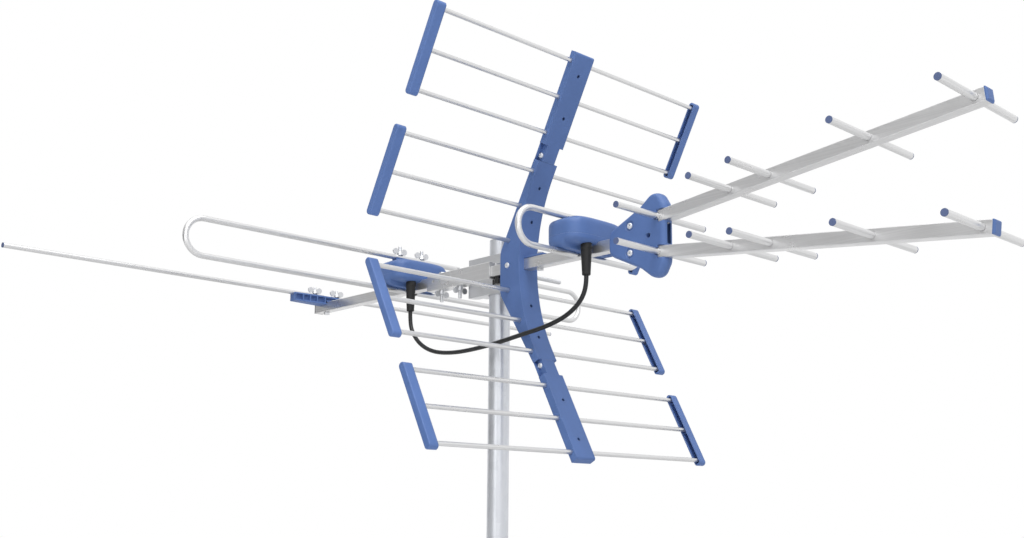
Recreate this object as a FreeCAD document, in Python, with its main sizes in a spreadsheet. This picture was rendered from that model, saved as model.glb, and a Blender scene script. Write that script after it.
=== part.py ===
import FreeCAD, Part
import math
import os
import re

import Sketcher

# A roof-top combined television aerial: a folded VHF dipole and rod at the tail, a corner
# reflector, a UHF dipole and two fanned director booms, all carried on one square boom that
# is clamped to a round mast.
# The origin is on the mast axis at the height of the boom. +X runs along the boom to the
# directors, +Z is up. Lengths are millimetres and angles are degrees.

doc = FreeCAD.newDocument("tv_antenna")
sheet = doc.addObject("Spreadsheet::Sheet", "Sheet")

SIZES = {
    # Mast
    "mast_diameter": 30.0,
    "mast_wall": 2.0,
    "mast_top": 52.0,
    "mast_foot": 420.0,
    "mast_clearance": 0.3,
    # Mast clamp
    "clamp_half_length": 47.0,
    "saddle_half_height": 28.0,
    "jaw_half_height": 24.0,
    "clamp_sheet": 2.5,
    "clamp_split": 3.0,
    "clamp_corner": 6.0,
    "tooth_depth": 1.2,
    "clamp_bolt_offset": 33.0,
    "clamp_bolt_diameter": 6.0,
    "clamp_bolt_tip": 87.0,
    "clamp_washer_length": 26.0,
    "clamp_washer_thickness": 1.6,
    "knob_x": 24.0,
    "knob_diameter": 10.0,
    "knob_length": 10.5,
    "knob_wing_span": 19.0,
    "knob_wing_thickness": 3.6,
    "clamp_nut_radius": 5.8,
    "clamp_nut_height": 5.0,
    "clamp_head_diameter": 10.5,
    "clamp_head_height": 3.0,
    # Booms
    "boom_width": 15.0,
    "boom_wall": 1.2,
    "boom_corner": 1.0,
    "boom_slot_x": 171.3,
    "boom_slot_length": 5.0,
    "boom_slot_height": 3.0,
    "front_boom_tail": 78.0,
    "front_boom_set_back": 21.3,
    "boom_joint_gap": 0.4,
    "rear_boom_rise": 3.5,
    "rear_boom_tail": 415.0,
    "plug_flange": 3.0,
    "fit": 0.15,
    # Coupler sleeve between the booms
    "coupler_wall": 2.5,
    "coupler_nose": 17.0,
    "coupler_rear": 120.0,
    "coupler_hole_x": 106.1,
    "coupler_hole_height": 3.5,
    "coupler_bolt_front": 57.0,
    "coupler_bolt_rear": 98.0,
    "small_bolt_diameter": 5.0,
    "bolt_clearance": 0.2,
    "small_head_radius": 4.6,
    "small_head_height": 3.5,
    "coupler_bolt_tip": 27.0,
    # Wing nuts
    "wing_hub_radius": 4.8,
    "wing_hub_height": 5.5,
    "wing_ear_radius": 4.6,
    "wing_ear_offset": 8.0,
    "wing_ear_lift": 5.5,
    "wing_ear_thickness": 2.2,
    # Corner reflector
    "reflector_vertex": 45.2,
    "reflector_lean": 28.0,
    "first_rod": 39.2,
    "rod_pitch": 50.0,
    "panel_gap": 54.0,
    "rod_diameter": 6.0,
    "rod_reach": 235.0,
    "spine_width": 34.0,
    "spine_front": 6.0,
    "spine_rear": 5.0,
    "spine_wall": 2.5,
    "hub_end": 155.0,
    "hub_front_radius": 249.0,
    "hub_rear_radius": 24.0,
    "hub_back_gap": 0.5,
    "hub_back_high": 20.0,
    "hub_back_low": 38.0,
    "hub_hole_near": 58.0,
    "hub_hole_far": 102.3,
    "hub_rib_thickness": 2.5,
    "arm_start": 178.0,
    "arm_hole_near": 217.8,
    "arm_hole_far": 276.7,
    "arm_end": 306.0,
    "neck_inset": 6.0,
    "tongue_start": 145.5,
    "face_hole_diameter": 4.6,
    "neck_screw_diameter": 4.0,
    "neck_screw_head": 4.0,
    "neck_screw_head_height": 2.6,
    "neck_screw_place": 162.0,
    "hub_screw_x": 62.0,
    "hub_bolt_x": 109.0,
    "hub_tongue_end": 121.0,
    "hub_tongue_thickness": 2.4,
    "hub_nut_height": 4.0,
    # Reflector end plates
    "plate_width": 13.0,
    "plate_depth": 10.0,
    "plate_overhang": 8.0,
    "plate_wall": 1.6,
    "plate_socket": 5.0,
    "plate_edge": 1.2,
    # Folded dipoles
    "dipole_tube": 8.0,
    "dipole_wall": 1.0,
    "feed_gap": 22.0,
    "uhf_x": 186.0,
    "uhf_half_length": 117.0,
    "uhf_low": 5.0,
    "uhf_high": 43.0,
    "vhf_x": 174.0,
    "vhf_half_length": 369.0,
    "vhf_low": 2.0,
    "vhf_high": 48.0,
    # Dipole pods
    "pod_back": 23.0,
    "pod_front": 38.0,
    "pod_half_width": 52.0,
    "pod_foot": 2.5,
    "pod_split": 14.0,
    "pod_crown": 44.5,
    "vhf_pod_crown": 41.0,
    "pod_front_corner": 34.0,
    "pod_back_corner": 18.0,
    "pod_dome": 16.0,
    "pod_wall": 2.2,
    "pod_side_wall": 9.0,
    "pod_end_wall": 16.0,
    "pod_step": 15.0,
    "pod_step_height": 3.5,
    "board_thickness": 1.6,
    "board_length": 60.0,
    "board_width": 34.0,
    "dipole_bolt_offset": 20.6,
    "dipole_bolt_length": 17.0,
    # Cable boots and the jumper cable
    "boot_x": 26.0,
    "boot_y": 18.6,
    "boot_top_diameter": 15.0,
    "boot_foot_diameter": 11.0,
    "boot_foot": 36.7,
    "cable_diameter": 6.0,
    # Director bracket
    "bracket_tail_run": 80.3,
    "bracket_tail_height": 15.0,
    "bracket_shoulder_run": 28.3,
    "bracket_shoulder_height": 39.0,
    "bracket_lobe_rear_run": 10.3,
    "bracket_lobe_front_run": 2.7,
    "bracket_lobe_height": 52.5,
    "bracket_nose_run": 12.7,
    "bracket_nose_height": 36.0,
    "bracket_half_thickness": 9.5,
    "bracket_corner": 8.0,
    "bracket_edge": 3.0,
    "bracket_screw_run": 43.8,
    "bracket_screw_diameter": 4.5,
    "bracket_screw_head": 4.2,
    "bracket_screw_head_height": 2.5,
    "bracket_recess_radius": 5.6,
    "bracket_recess_depth": 1.0,
    "bracket_hole_run": 13.4,
    # Director booms and directors
    "fan_slope": 6.13,
    "fan_apex": 116.8,
    "director_boom_root": 46.3,
    "director_boom_tip": 10.7,
    "director_diameter": 8.0,
    "director_wall": 1.0,
    "director_length": 164.0,
    "director_one": 321.3,
    "director_gap_one": 108.4,
    "director_gap_two": 54.9,
    "director_gap_three": 127.0,
    "director_gap_four": 118.7,
    "tip_plug_depth": 8.0,
    "tip_plug_flange": 1.2,
    # Tail rod of the VHF section
    "tail_rod_x": 394.0,
    "tail_rod_height": 20.0,
    "tail_rod_diameter": 7.0,
    "tail_rod_wall": 1.0,
    "tail_rod_half_length": 511.0,
    "tail_rod_gap": 8.0,
    "tail_bolt_near": 24.0,
    "tail_bolt_far": 18.0,
    "tail_bolt_diameter": 4.0,
    "tail_bolt_length": 14.0,
    "holder_near_length": 65.0,
    "holder_far_length": 30.0,
    "holder_skirt": 4.5,
    "holder_width": 22.0,
    "holder_end_width": 14.0,
    "holder_floor": 3.0,
    "holder_rim": 3.0,
    "holder_rib_thickness": 2.0,
}

for row, (name, value) in enumerate(SIZES.items(), start=1):
    sheet.set(f"A{row}", name)
    sheet.set(f"B{row}", str(value))
    sheet.setAlias(f"B{row}", name)
doc.recompute()

# Places shared by several pieces, as formulas of the sizes above
BOOM_HALF = "boom_width / 2"
MAST_SEAT = "(mast_diameter / 2 + mast_clearance)"
BOOM_Y = f"(-({MAST_SEAT} + clamp_sheet + {BOOM_HALF}))"
COUPLER_HALF = f"({BOOM_HALF} + fit + coupler_wall)"
COUPLER_TOP = f"({COUPLER_HALF} + rear_boom_rise)"
BOLT_HOLE = "(small_bolt_diameter / 2 + bolt_clearance)"
CLAMP_HOLE = "(clamp_bolt_diameter / 2 + bolt_clearance)"
FAN_RISE = "tan(fan_slope)"
ROD_PLACES = [
    "first_rod",
    "(first_rod + rod_pitch)",
    "(first_rod + 2 * rod_pitch)",
    "(first_rod + 2 * rod_pitch + panel_gap)",
    "(first_rod + 3 * rod_pitch + panel_gap)",
    "(first_rod + 4 * rod_pitch + panel_gap)",
]
DIRECTORS = ["director_one"]
for gap in ("director_gap_one", "director_gap_two", "director_gap_three", "director_gap_four"):
    DIRECTORS.append(f"({DIRECTORS[-1]} + {gap})")
FRONT_NOSE = "(director_one - front_boom_set_back)"
DIRECTOR_ROOT = "(director_one - director_boom_root)"
DIRECTOR_TIP = f"({DIRECTORS[-1]} + director_boom_tip)"
HUB_BACK = "(clamp_half_length + hub_back_gap)"

# The least volume in cubic millimetres that counts as a cut
LEAST_CUT = 0.1

X_AXIS = FreeCAD.Vector(1, 0, 0)
Y_AXIS = FreeCAD.Vector(0, 1, 0)
Z_AXIS = FreeCAD.Vector(0, 0, 1)
TURNS = {"X": (Y_AXIS, 90), "Y": (X_AXIS, -90), "Z": (X_AXIS, 0)}

pieces = []


def linked(formula):
    """The formula with each size of the sheet named as the document knows it."""
    return re.sub(
        r"[a-z_]+", lambda word: f"Sheet.{word[0]}" if word[0] in SIZES else word[0], str(formula)
    )


def bind(item, **formulas):
    """Tie properties of an object to formulas of the sheet."""
    for name, formula in formulas.items():
        item.setExpression(name.replace("__", "."), linked(formula))


def place(item, x="0", y="0", z="0"):
    bind(item, Placement__Base__x=x, Placement__Base__y=y, Placement__Base__z=z)


def tilt(item, angle):
    """Lean an object about the Y axis."""
    item.Placement.Rotation = FreeCAD.Rotation(Y_AXIS, 1)
    bind(item, Placement__Rotation__Angle=angle)


def node(label, item):
    """Keep an object as a sub-part under its own label."""
    item.Label = label
    pieces.append(item)
    return item


def box(name, x, y, z):
    """A block between two formulas along each axis."""
    block = doc.addObject("Part::Box", name)
    bind(
        block, Length=f"({x[1]}) - ({x[0]})", Width=f"({y[1]}) - ({y[0]})",
        Height=f"({z[1]}) - ({z[0]})",
    )
    place(block, x[0], y[0], z[0])
    return block


def cylinder(name, axis, radius, length, x="0", y="0", z="0"):
    """A round bar from a point along one axis."""
    bar = doc.addObject("Part::Cylinder", name)
    bar.Placement.Rotation = FreeCAD.Rotation(*TURNS[axis])
    bind(bar, Radius=radius, Height=length)
    place(bar, x, y, z)
    return bar


def cone(name, radius_low, radius_high, height, x, y, z):
    taper = doc.addObject("Part::Cone", name)
    bind(taper, Radius1=radius_low, Radius2=radius_high, Height=height)
    place(taper, x, y, z)
    return taper


def hexagon(name, axis, radius, height, x, y, z):
    prism = doc.addObject("Part::Prism", name)
    prism.Polygon = 6
    prism.Placement.Rotation = FreeCAD.Rotation(*TURNS[axis])
    bind(prism, Circumradius=radius, Height=height)
    place(prism, x, y, z)
    return prism


def join(name, items):
    fused = doc.addObject("Part::MultiFuse", name)
    fused.Shapes = items
    return fused


def cut(name, base, tools):
    """The base less one tool or several."""
    result = doc.addObject("Part::Cut", name)
    result.Base = base
    result.Tool = tools[0] if len(tools) == 1 else join(name + "_tools", tools)
    return result


def group(name, items):
    """Separate solids that share one node."""
    gathered = doc.addObject("Part::Compound", name)
    gathered.Links = items
    return gathered


def pipe(name, axis, radius, wall, length, x="0", y="0", z="0"):
    """A round tube from a point along one axis."""
    outer = cylinder(name + "_outer", axis, radius, length, x, y, z)
    bore = cylinder(name + "_bore", axis, f"{radius} - {wall}", length, x, y, z)
    return cut(name, outer, [bore])


def new_body(label, x="0", y="0", z="0"):
    body = doc.addObject("PartDesign::Body", label)
    place(body, x, y, z)
    return node(label, body)


def new_sketch(body, plane, offset="0"):
    """A sketch on one of the body's own planes, moved along the plane's normal."""
    sketch = body.newObject("Sketcher::SketchObject", body.Name + "_sketch")
    support = [item for item in body.Origin.OriginFeatures if item.Role == plane][0]
    sketch.AttachmentSupport = (support, "")
    sketch.MapMode = "FlatFace"
    bind(sketch, AttachmentOffset__Base__z=offset)
    return sketch


def fix_point(sketch, tag, geometry, position, x, y):
    """Tie one sketch point to formulas for its two coordinates."""
    for axis, kind, formula in (("x", "DistanceX", x), ("y", "DistanceY", y)):
        here = sketch.getPoint(geometry, position)
        index = sketch.addConstraint(Sketcher.Constraint(kind, geometry, position, getattr(here, axis)))
        sketch.renameConstraint(index, f"{tag}_{axis}")
        sketch.setExpression(f"Constraints.{tag}_{axis}", linked(formula))


def draw_outline(sketch, points):
    """A closed outline of straight edges through points given as formulas."""
    count = len(points)
    first = sketch.GeometryCount
    spread = Part.Circle(FreeCAD.Vector(0, 0, 0), FreeCAD.Vector(0, 0, 1), count).toShape()
    corners = spread.discretize(Number=count + 1)[:count]
    for index in range(count):
        sketch.addGeometry(Part.LineSegment(corners[index], corners[(index + 1) % count]), False)
    for index in range(count):
        following = first + (index + 1) % count
        sketch.addConstraint(Sketcher.Constraint("Coincident", first + index, 2, following, 1))
    for index, (x, y) in enumerate(points):
        fix_point(sketch, f"point_{first + index}", first + index, 1, x, y)


def draw_rectangle(sketch, x, y):
    draw_outline(sketch, [(x[0], y[0]), (x[1], y[0]), (x[1], y[1]), (x[0], y[1])])


def draw_circles(sketch, radius, centres):
    """Round holes of one radius."""
    for x, y in centres:
        index = sketch.addGeometry(
            Part.Circle(FreeCAD.Vector(1, 1, 0), FreeCAD.Vector(0, 0, 1), 1), False,
        )
        fix_point(sketch, f"centre_{index}", index, 3, x, y)
        size = sketch.addConstraint(Sketcher.Constraint("Radius", index, 1.0))
        sketch.renameConstraint(size, f"radius_{index}")
        sketch.setExpression(f"Constraints.radius_{index}", linked(radius))


def pad(body, sketch, length, midplane=False, reverse=False):
    feature = body.newObject("PartDesign::Pad", body.Name + "_pad")
    feature.Profile = sketch
    feature.Midplane = midplane
    feature.Reversed = reverse
    bind(feature, Length=length)
    doc.recompute()
    return feature


def pocket(body, sketch, length=None, midplane=False, reverse=False):
    """Cut a sketch to a depth, or through all when no depth is given."""
    before = body.Shape.Volume
    feature = body.newObject("PartDesign::Pocket", body.Name + "_pocket")
    feature.Profile = sketch
    feature.Midplane = midplane
    feature.Reversed = reverse
    if length is None:
        feature.Type = "ThroughAll"
    else:
        bind(feature, Length=length)
    doc.recompute()
    if before - body.Shape.Volume < LEAST_CUT:
        raise ValueError(f"{feature.Name} removes nothing from {body.Label}")
    return feature


def fillet(body, base, edges, radius):
    feature = body.newObject("PartDesign::Fillet", body.Name + "_fillet")
    feature.Base = (base, edges)
    bind(feature, Radius=radius)
    doc.recompute()
    return feature


def edge_names(feature, wanted):
    """Names of the feature's edges that a test picks."""
    return [f"Edge{i}" for i, edge in enumerate(feature.Shape.Edges, start=1) if wanted(edge)]


def runs_along(edge, axis):
    """Whether an edge is straight and parallel to an axis."""
    if edge.Curve.TypeId != "Part::GeomLine":
        return False
    direction = edge.Curve.Direction
    return abs(direction.dot(axis)) > 0.9999


def top_edges(feature):
    """Names of the edges round the highest flat face."""
    highest = feature.Shape.BoundBox.ZMax
    return edge_names(feature, lambda edge: edge.BoundBox.ZMin > highest - 0.001)


def wing_nut(name, x, y, z, sign, bore):
    """A nut with two round ears, seated at z and pointing up or down."""
    low = z if sign > 0 else f"{z} - wing_hub_height"
    radii = ("wing_hub_radius", "0.75 * wing_hub_radius")
    hub = cone(name + "_hub", *radii[::sign], "wing_hub_height", x, y, low)
    ears = []
    for side in (-1, 1):
        ears.append(
            cylinder(
                f"{name}_ear_{side + 1}", "X", "wing_ear_radius", "wing_ear_thickness",
                f"{x} - wing_ear_thickness / 2", f"{y} + {side} * wing_ear_offset",
                f"{z} + {sign} * wing_ear_lift",
            )
        )
    span = "(wing_hub_height + wing_ear_lift + wing_ear_radius)"
    hole = cylinder(name + "_hole", "Z", bore, f"2 * {span}", x, y, f"{z} - {span}")
    return cut(name, join(name + "_solid", [hub] + ears), [hole])


# Mast: a round steel tube, cut off a little below the picture's edge
mast = pipe("mast", "Z", "mast_diameter / 2", "mast_wall", "mast_top + mast_foot", z="-mast_foot")
node("mast_tube", mast)


# Mast clamp: two folded sheets with toothed V notches, drawn together by two long bolts
def clamp_sheet_piece(label, half_height, side):
    """One folded sheet: a web beside the mast and two toothed flanges that reach round it."""
    seat = MAST_SEAT
    body = new_body(label)
    outer = f"({seat} + clamp_sheet)"
    web = new_sketch(body, "XY_Plane")
    web_y = (f"{side} * {outer}", f"{side} * {seat}")
    draw_rectangle(web, ("-clamp_half_length", "clamp_half_length"), web_y)
    pad(body, web, f"2 * {half_height}", midplane=True)

    notch = f"({seat} * (sqrt(2) - 1))"
    depth = f"({seat} - clamp_split)"
    teeth = 5
    half = [("clamp_half_length", outer), ("clamp_half_length", "clamp_split + clamp_corner")]
    half.append(("clamp_half_length - clamp_corner", "clamp_split"))
    for tooth in range(teeth):
        step = f"{depth} * {teeth - tooth} / {teeth}"
        valley = f"{depth} * {teeth - tooth - 0.5} / {teeth}"
        half.append((f"{notch} + {step}", f"{seat} - {step}"))
        half.append((f"{notch} + {valley} + tooth_depth", f"{seat} - {valley} + tooth_depth / 4"))
    half.append((notch, seat))
    points = [(x, f"{side} * ({y})") for x, y in half]
    points += [(f"-({x})", y) for x, y in reversed(points)]
    for level in (f"{half_height} - clamp_sheet", f"-({half_height})"):
        flange = new_sketch(body, "XY_Plane", level)
        draw_outline(flange, points)
        pad(body, flange, "clamp_sheet")

    holes = new_sketch(body, "XZ_Plane")
    draw_circles(holes, CLAMP_HOLE, [("clamp_bolt_offset", "0"), ("-clamp_bolt_offset", "0")])
    pocket(body, holes, f"4 * {outer}", midplane=True)
    return body


clamp_sheet_piece("clamp_saddle", "saddle_half_height", -1)
clamp_sheet_piece("clamp_jaw", "jaw_half_height", 1)

BOOM_NEAR = f"({BOOM_Y} - {BOOM_HALF})"
JAW_FACE = f"({MAST_SEAT} + clamp_sheet)"
WASHER_FACE = f"({JAW_FACE} + clamp_washer_thickness)"
bolts = []
washers = []
nuts = []
for side in (-1, 1):
    bolt_x = f"{side} * clamp_bolt_offset"
    tag = f"clamp_{side + 1}"
    # The head lies inside the boom, against its far wall
    head_end = f"({BOOM_Y} + {BOOM_HALF} - boom_wall)"
    head = cylinder(
        tag + "_head", "Y", "clamp_head_diameter / 2", "clamp_head_height",
        bolt_x, f"{head_end} - clamp_head_height",
    )
    shank = cylinder(
        tag + "_shank", "Y", "clamp_bolt_diameter / 2", f"clamp_bolt_tip - {head_end}", bolt_x, head_end
    )
    bolts.append(join(tag + "_bolt", [head, shank]))
    plate = box(
        tag + "_plate",
        (f"{bolt_x} - clamp_washer_length / 2", f"{bolt_x} + clamp_washer_length / 2"),
        (JAW_FACE, WASHER_FACE),
        (f"-{BOOM_HALF}", BOOM_HALF),
    )
    plate_hole = cylinder(tag + "_plate_hole", "Y", CLAMP_HOLE, "boom_width", bolt_x, JAW_FACE)
    washers.append(cut(tag + "_washer", plate, [plate_hole]))
    hex_nut = hexagon(tag + "_hex", "Y", "clamp_nut_radius", "clamp_nut_height", bolt_x, WASHER_FACE, "0")
    thread = cylinder(
        tag + "_thread", "Y", "clamp_bolt_diameter / 2", "clamp_nut_height", bolt_x, WASHER_FACE,
    )
    nuts.append(cut(tag + "_nut", hex_nut, [thread]))
node("clamp_bolts", group("clamp_bolt_pair", bolts))
node("clamp_washers", group("clamp_washer_pair", washers))
node("clamp_nuts", group("clamp_nut_pair", nuts))


# Booms: square aluminium tubes with drilled bolt holes
def square_section(body, start, length, half, wall):
    """A square tube along the body's X axis with rounded outer corners."""
    section = new_sketch(body, "YZ_Plane", start)
    inner = f"({half} - {wall})"
    for reach in (half, inner):
        draw_rectangle(section, (f"-{reach}", reach), (f"-{reach}", reach))
    tube = pad(body, section, length)
    widest = tube.Shape.BoundBox.YMax
    corners = edge_names(
        tube, lambda edge: runs_along(edge, X_AXIS) and abs(edge.CenterOfMass.y) > widest - 0.001
    )
    return fillet(body, tube, corners, "boom_corner")


def square_tube(name, start, end, height, tools):
    """A straight boom beside the mast, less the holes drilled in it."""
    tube = doc.addObject("PartDesign::Body", name + "_body")
    place(tube, y=BOOM_Y, z=height)
    square_section(tube, start, f"({end}) - ({start})", BOOM_HALF, "boom_wall")
    return cut(name, tube, tools)


def upright_hole(name, x):
    """A drill hole down through a boom on its middle line."""
    return cylinder(name, "Z", BOLT_HOLE, "4 * boom_width", x, BOOM_Y, "-2 * boom_width")


clamp_holes = [
    cylinder(
        f"boom_clamp_hole_{side + 1}", "Y", CLAMP_HOLE, "boom_width",
        f"{side} * clamp_bolt_offset", BOOM_Y,
    )
    for side in (-1, 1)
]
front_holes = [
    upright_hole("front_hole", "-coupler_bolt_front"),
    upright_hole("knob_hole", "knob_x"),
    upright_hole("hub_hole", "hub_bolt_x"),
]
side_slot = box(
    "side_slot",
    ("boom_slot_x - boom_slot_length / 2", "boom_slot_x + boom_slot_length / 2"),
    (f"{BOOM_Y} - boom_width", BOOM_Y),
    ("-boom_slot_height", "0"),
)
front = square_tube(
    "front_tube", "-front_boom_tail", FRONT_NOSE, "0", clamp_holes + front_holes + [side_slot]
)
node("front_boom", front)
rear_holes = [upright_hole("rear_hole", "-coupler_bolt_rear"), upright_hole("holder_hole", "-tail_rod_x")]
REAR_NOSE = "(front_boom_tail + boom_joint_gap)"
rear = square_tube("rear_tube", "-rear_boom_tail", f"-{REAR_NOSE}", "rear_boom_rise", rear_holes)
node("rear_boom", rear)

PLUG_HALF = f"({BOOM_HALF} - boom_wall - fit)"
rear_flange = box(
    "rear_flange", ("-rear_boom_tail - plug_flange", "-rear_boom_tail"),
    (BOOM_NEAR, f"{BOOM_NEAR} + boom_width"),
    (f"rear_boom_rise - {BOOM_HALF}", f"rear_boom_rise + {BOOM_HALF}"),
)
rear_stub = box(
    "rear_stub", ("-rear_boom_tail", "-tail_rod_x - small_bolt_diameter"),
    (f"{BOOM_Y} - {PLUG_HALF}", f"{BOOM_Y} + {PLUG_HALF}"),
    (f"rear_boom_rise - {PLUG_HALF}", f"rear_boom_rise + {PLUG_HALF}"),
)
node("rear_boom_plug", join("rear_plug", [rear_flange, rear_stub]))

# Coupler: a channel round both booms with two upright bolts and wing nuts below
coupler = doc.addObject("PartDesign::Body", "coupler_body")
place(coupler, y=BOOM_Y)


def channel(start, length, rise):
    """A length of the channel, open on the mast's side, that a boom at the given height fills."""
    section = new_sketch(coupler, "YZ_Plane", start)
    inner = f"({BOOM_HALF} + fit)"
    draw_outline(
        section,
        [
            (BOOM_HALF, f"-{COUPLER_HALF}"),
            (f"-{COUPLER_HALF}", f"-{COUPLER_HALF}"),
            (f"-{COUPLER_HALF}", COUPLER_TOP),
            (BOOM_HALF, COUPLER_TOP),
            (BOOM_HALF, f"{rise} + {inner}"),
            (f"-{inner}", f"{rise} + {inner}"),
            (f"-{inner}", f"{rise} - {inner}"),
            (BOOM_HALF, f"{rise} - {inner}"),
        ],
    )
    return pad(coupler, section, length)


channel("-coupler_rear", "coupler_rear - front_boom_tail", "rear_boom_rise")
long_channel = channel("-front_boom_tail", "front_boom_tail + coupler_nose", "0")
nearest = long_channel.Shape.BoundBox.YMin
outer_corners = edge_names(
    long_channel, lambda edge: runs_along(edge, X_AXIS) and edge.CenterOfMass.y < nearest + 0.001
)
fillet(coupler, long_channel, outer_corners, "boom_corner")
channel_holes = [
    upright_hole("channel_hole_front", "-coupler_bolt_front"),
    upright_hole("channel_hole_rear", "-coupler_bolt_rear"),
    cylinder(
        "channel_side_hole", "Y", BOLT_HOLE, "boom_width",
        "-coupler_hole_x", f"{BOOM_Y} - 1.5 * boom_width", "coupler_hole_height",
    ),
]
node("boom_coupler", cut("coupler_channel", coupler, channel_holes))
hex_bolts = []
wing_nuts = []
for index, bolt_x in enumerate(("-coupler_bolt_front", "-coupler_bolt_rear")):
    tag = f"coupler_{index}"
    shank = cylinder(
        tag + "_shank", "Z", "small_bolt_diameter / 2", f"coupler_bolt_tip + {COUPLER_TOP}",
        bolt_x, BOOM_Y, "-coupler_bolt_tip",
    )
    head = hexagon(
        tag + "_head", "Z", "small_head_radius", "small_head_height", bolt_x, BOOM_Y, COUPLER_TOP,
    )
    hex_bolts.append(join(tag + "_bolt", [shank, head]))
    wing_nuts.append(
        wing_nut(tag + "_nut", bolt_x, BOOM_Y, f"(-{COUPLER_HALF})", -1, "small_bolt_diameter / 2")
    )

# Wing knob: a black plastic nut on a bolt through the boom, between the coupler and the reflector
knob_low = f"(-{BOOM_HALF} - knob_length)"
grip = cylinder("knob_grip", "Z", "knob_diameter / 2", "knob_length", "knob_x", BOOM_Y, knob_low)
knob_wing = box(
    "knob_wing",
    ("knob_x - knob_wing_span / 2", "knob_x + knob_wing_span / 2"),
    (f"{BOOM_Y} - knob_wing_thickness / 2", f"{BOOM_Y} + knob_wing_thickness / 2"),
    (knob_low, f"{knob_low} + 0.7 * knob_length"),
)
socket = cylinder(
    "knob_socket", "Z", "small_bolt_diameter / 2", "knob_length", "knob_x", BOOM_Y,
    f"{knob_low} + knob_length / 4",
)
node("boom_wing_knob", cut("knob", join("knob_solid", [grip, knob_wing]), [socket]))
knob_head = hexagon(
    "knob_bolt_head", "Z", "small_head_radius", "small_head_height", "knob_x", BOOM_Y, BOOM_HALF,
)
knob_shank = cylinder(
    "knob_bolt_shank", "Z", "small_bolt_diameter / 2", "boom_width + 0.75 * knob_length",
    "knob_x", BOOM_Y, f"{knob_low} + knob_length / 4",
)
hex_bolts.append(join("knob_bolt", [knob_head, knob_shank]))


# Corner reflector: a moulded spine of three channels, open at the back, with rods across it
COS = "cos(reflector_lean)"
SIN = "sin(reflector_lean)"
SPINE_HALF = "(spine_width / 2)"
ROD_HOLE = "(rod_diameter / 2 + fit)"


def spine_line(offset, reach, sign):
    """A point of a line beside the rods: ahead of them by offset, out along the arm by reach."""
    x = f"reflector_vertex + ({reach}) * {SIN} + ({offset}) * {COS}"
    z = f"{sign} * (({reach}) * {COS} - ({offset}) * {SIN})"
    return (x, z)


def spine_corner(offset):
    """Where the two lines at one offset meet, at the height of the boom."""
    return (f"reflector_vertex + ({offset}) / {COS}", "0")


LEAN = math.radians(SIZES["reflector_lean"])
hub = new_body("reflector_hub", y=BOOM_Y)
hub_outline = new_sketch(hub, "XZ_Plane")
draw_outline(
    hub_outline,
    [
        spine_line("spine_front", "hub_end", 1),
        spine_corner("spine_front"),
        spine_line("spine_front", "hub_end", -1),
        spine_line("-spine_rear", "hub_end", -1),
        (HUB_BACK, "-hub_back_low"),
        (HUB_BACK, "hub_back_high"),
        spine_line("-spine_rear", "hub_end", 1),
    ],
)
hub_pad = pad(hub, hub_outline, "spine_width", midplane=True)


def on_boom_level(edge):
    return runs_along(edge, Y_AXIS) and abs(edge.CenterOfMass.z) < 0.001


hub_front = fillet(hub, hub_pad, edge_names(hub_pad, on_boom_level), "hub_front_radius")
back = hub_front.Shape.BoundBox.XMin
back_edges = edge_names(
    hub_front, lambda edge: runs_along(edge, Y_AXIS) and edge.CenterOfMass.x < back + 0.001
)
hub_rear = fillet(hub, hub_front, back_edges, "hub_rear_radius")


def outward(face):
    """The direction a face looks at its middle."""
    first_u, last_u, first_v, last_v = face.ParameterRange
    return face.normalAt((first_u + last_u) / 2, (first_v + last_v) / 2)


# The hub is hollowed from the back and from both ends
END_UP = FreeCAD.Vector(math.sin(LEAN), 0, math.cos(LEAN))
END_DOWN = FreeCAD.Vector(math.sin(LEAN), 0, -math.cos(LEAN))
back_and_ends = [
    f"Face{i}"
    for i, face in enumerate(hub_rear.Shape.Faces, start=1)
    if abs(outward(face).y) < 0.5 and outward(face).x < 0
    or outward(face).dot(END_UP) > 0.999
    or outward(face).dot(END_DOWN) > 0.999
]
hub_shell = hub.newObject("PartDesign::Thickness", "reflector_hub_shell")
hub_shell.Base = (hub_rear, back_and_ends)
hub_shell.Reversed = True
bind(hub_shell, Value="spine_wall")
doc.recompute()

# The boom's collar and cross ribs inside the hub
COLLAR_HALF = f"({BOOM_HALF} + fit + spine_wall)"
collar_rear = "(reflector_vertex + spine_rear)"
collar_front = spine_corner("spine_front")[0]
collar_face = f"({collar_front} + hub_front_radius * (1 / {COS} - 1))"
collar = new_sketch(hub, "YZ_Plane", collar_rear)
draw_rectangle(
    collar, (f"-{SPINE_HALF} + spine_wall / 2", f"{SPINE_HALF} - spine_wall / 2"),
    (f"-{COLLAR_HALF}", COLLAR_HALF),
)
pad(hub, collar, f"{collar_face} - {collar_rear}")
tongue = new_sketch(hub, "YZ_Plane", f"{collar_face} - spine_wall")
tongue_top = f"({BOOM_HALF} + fit + hub_tongue_thickness)"
draw_rectangle(tongue, (f"-{BOOM_HALF}", BOOM_HALF), (f"{BOOM_HALF} + fit", tongue_top))
pad(hub, tongue, f"hub_tongue_end - {collar_face} + spine_wall")
for sign in (1, -1):
    rib = new_sketch(hub, "XZ_Plane")
    middle = f"({ROD_PLACES[1]} + rod_pitch / 4)"
    rib_front = "spine_front - spine_wall / 2"
    draw_outline(
        rib,
        [
            spine_line("0", f"{middle} - hub_rib_thickness / 2", sign),
            spine_line(rib_front, f"{middle} - hub_rib_thickness / 2", sign),
            spine_line(rib_front, f"{middle} + hub_rib_thickness / 2", sign),
            spine_line("0", f"{middle} + hub_rib_thickness / 2", sign),
        ],
    )
    pad(hub, rib, "spine_width - spine_wall", midplane=True)

window = new_sketch(hub, "YZ_Plane")
window_half = f"({BOOM_HALF} + fit)"
draw_rectangle(window, (f"-{window_half}", window_half), (f"-{window_half}", window_half))
pocket(hub, window, "2 * hub_tongue_end", midplane=True)

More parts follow.
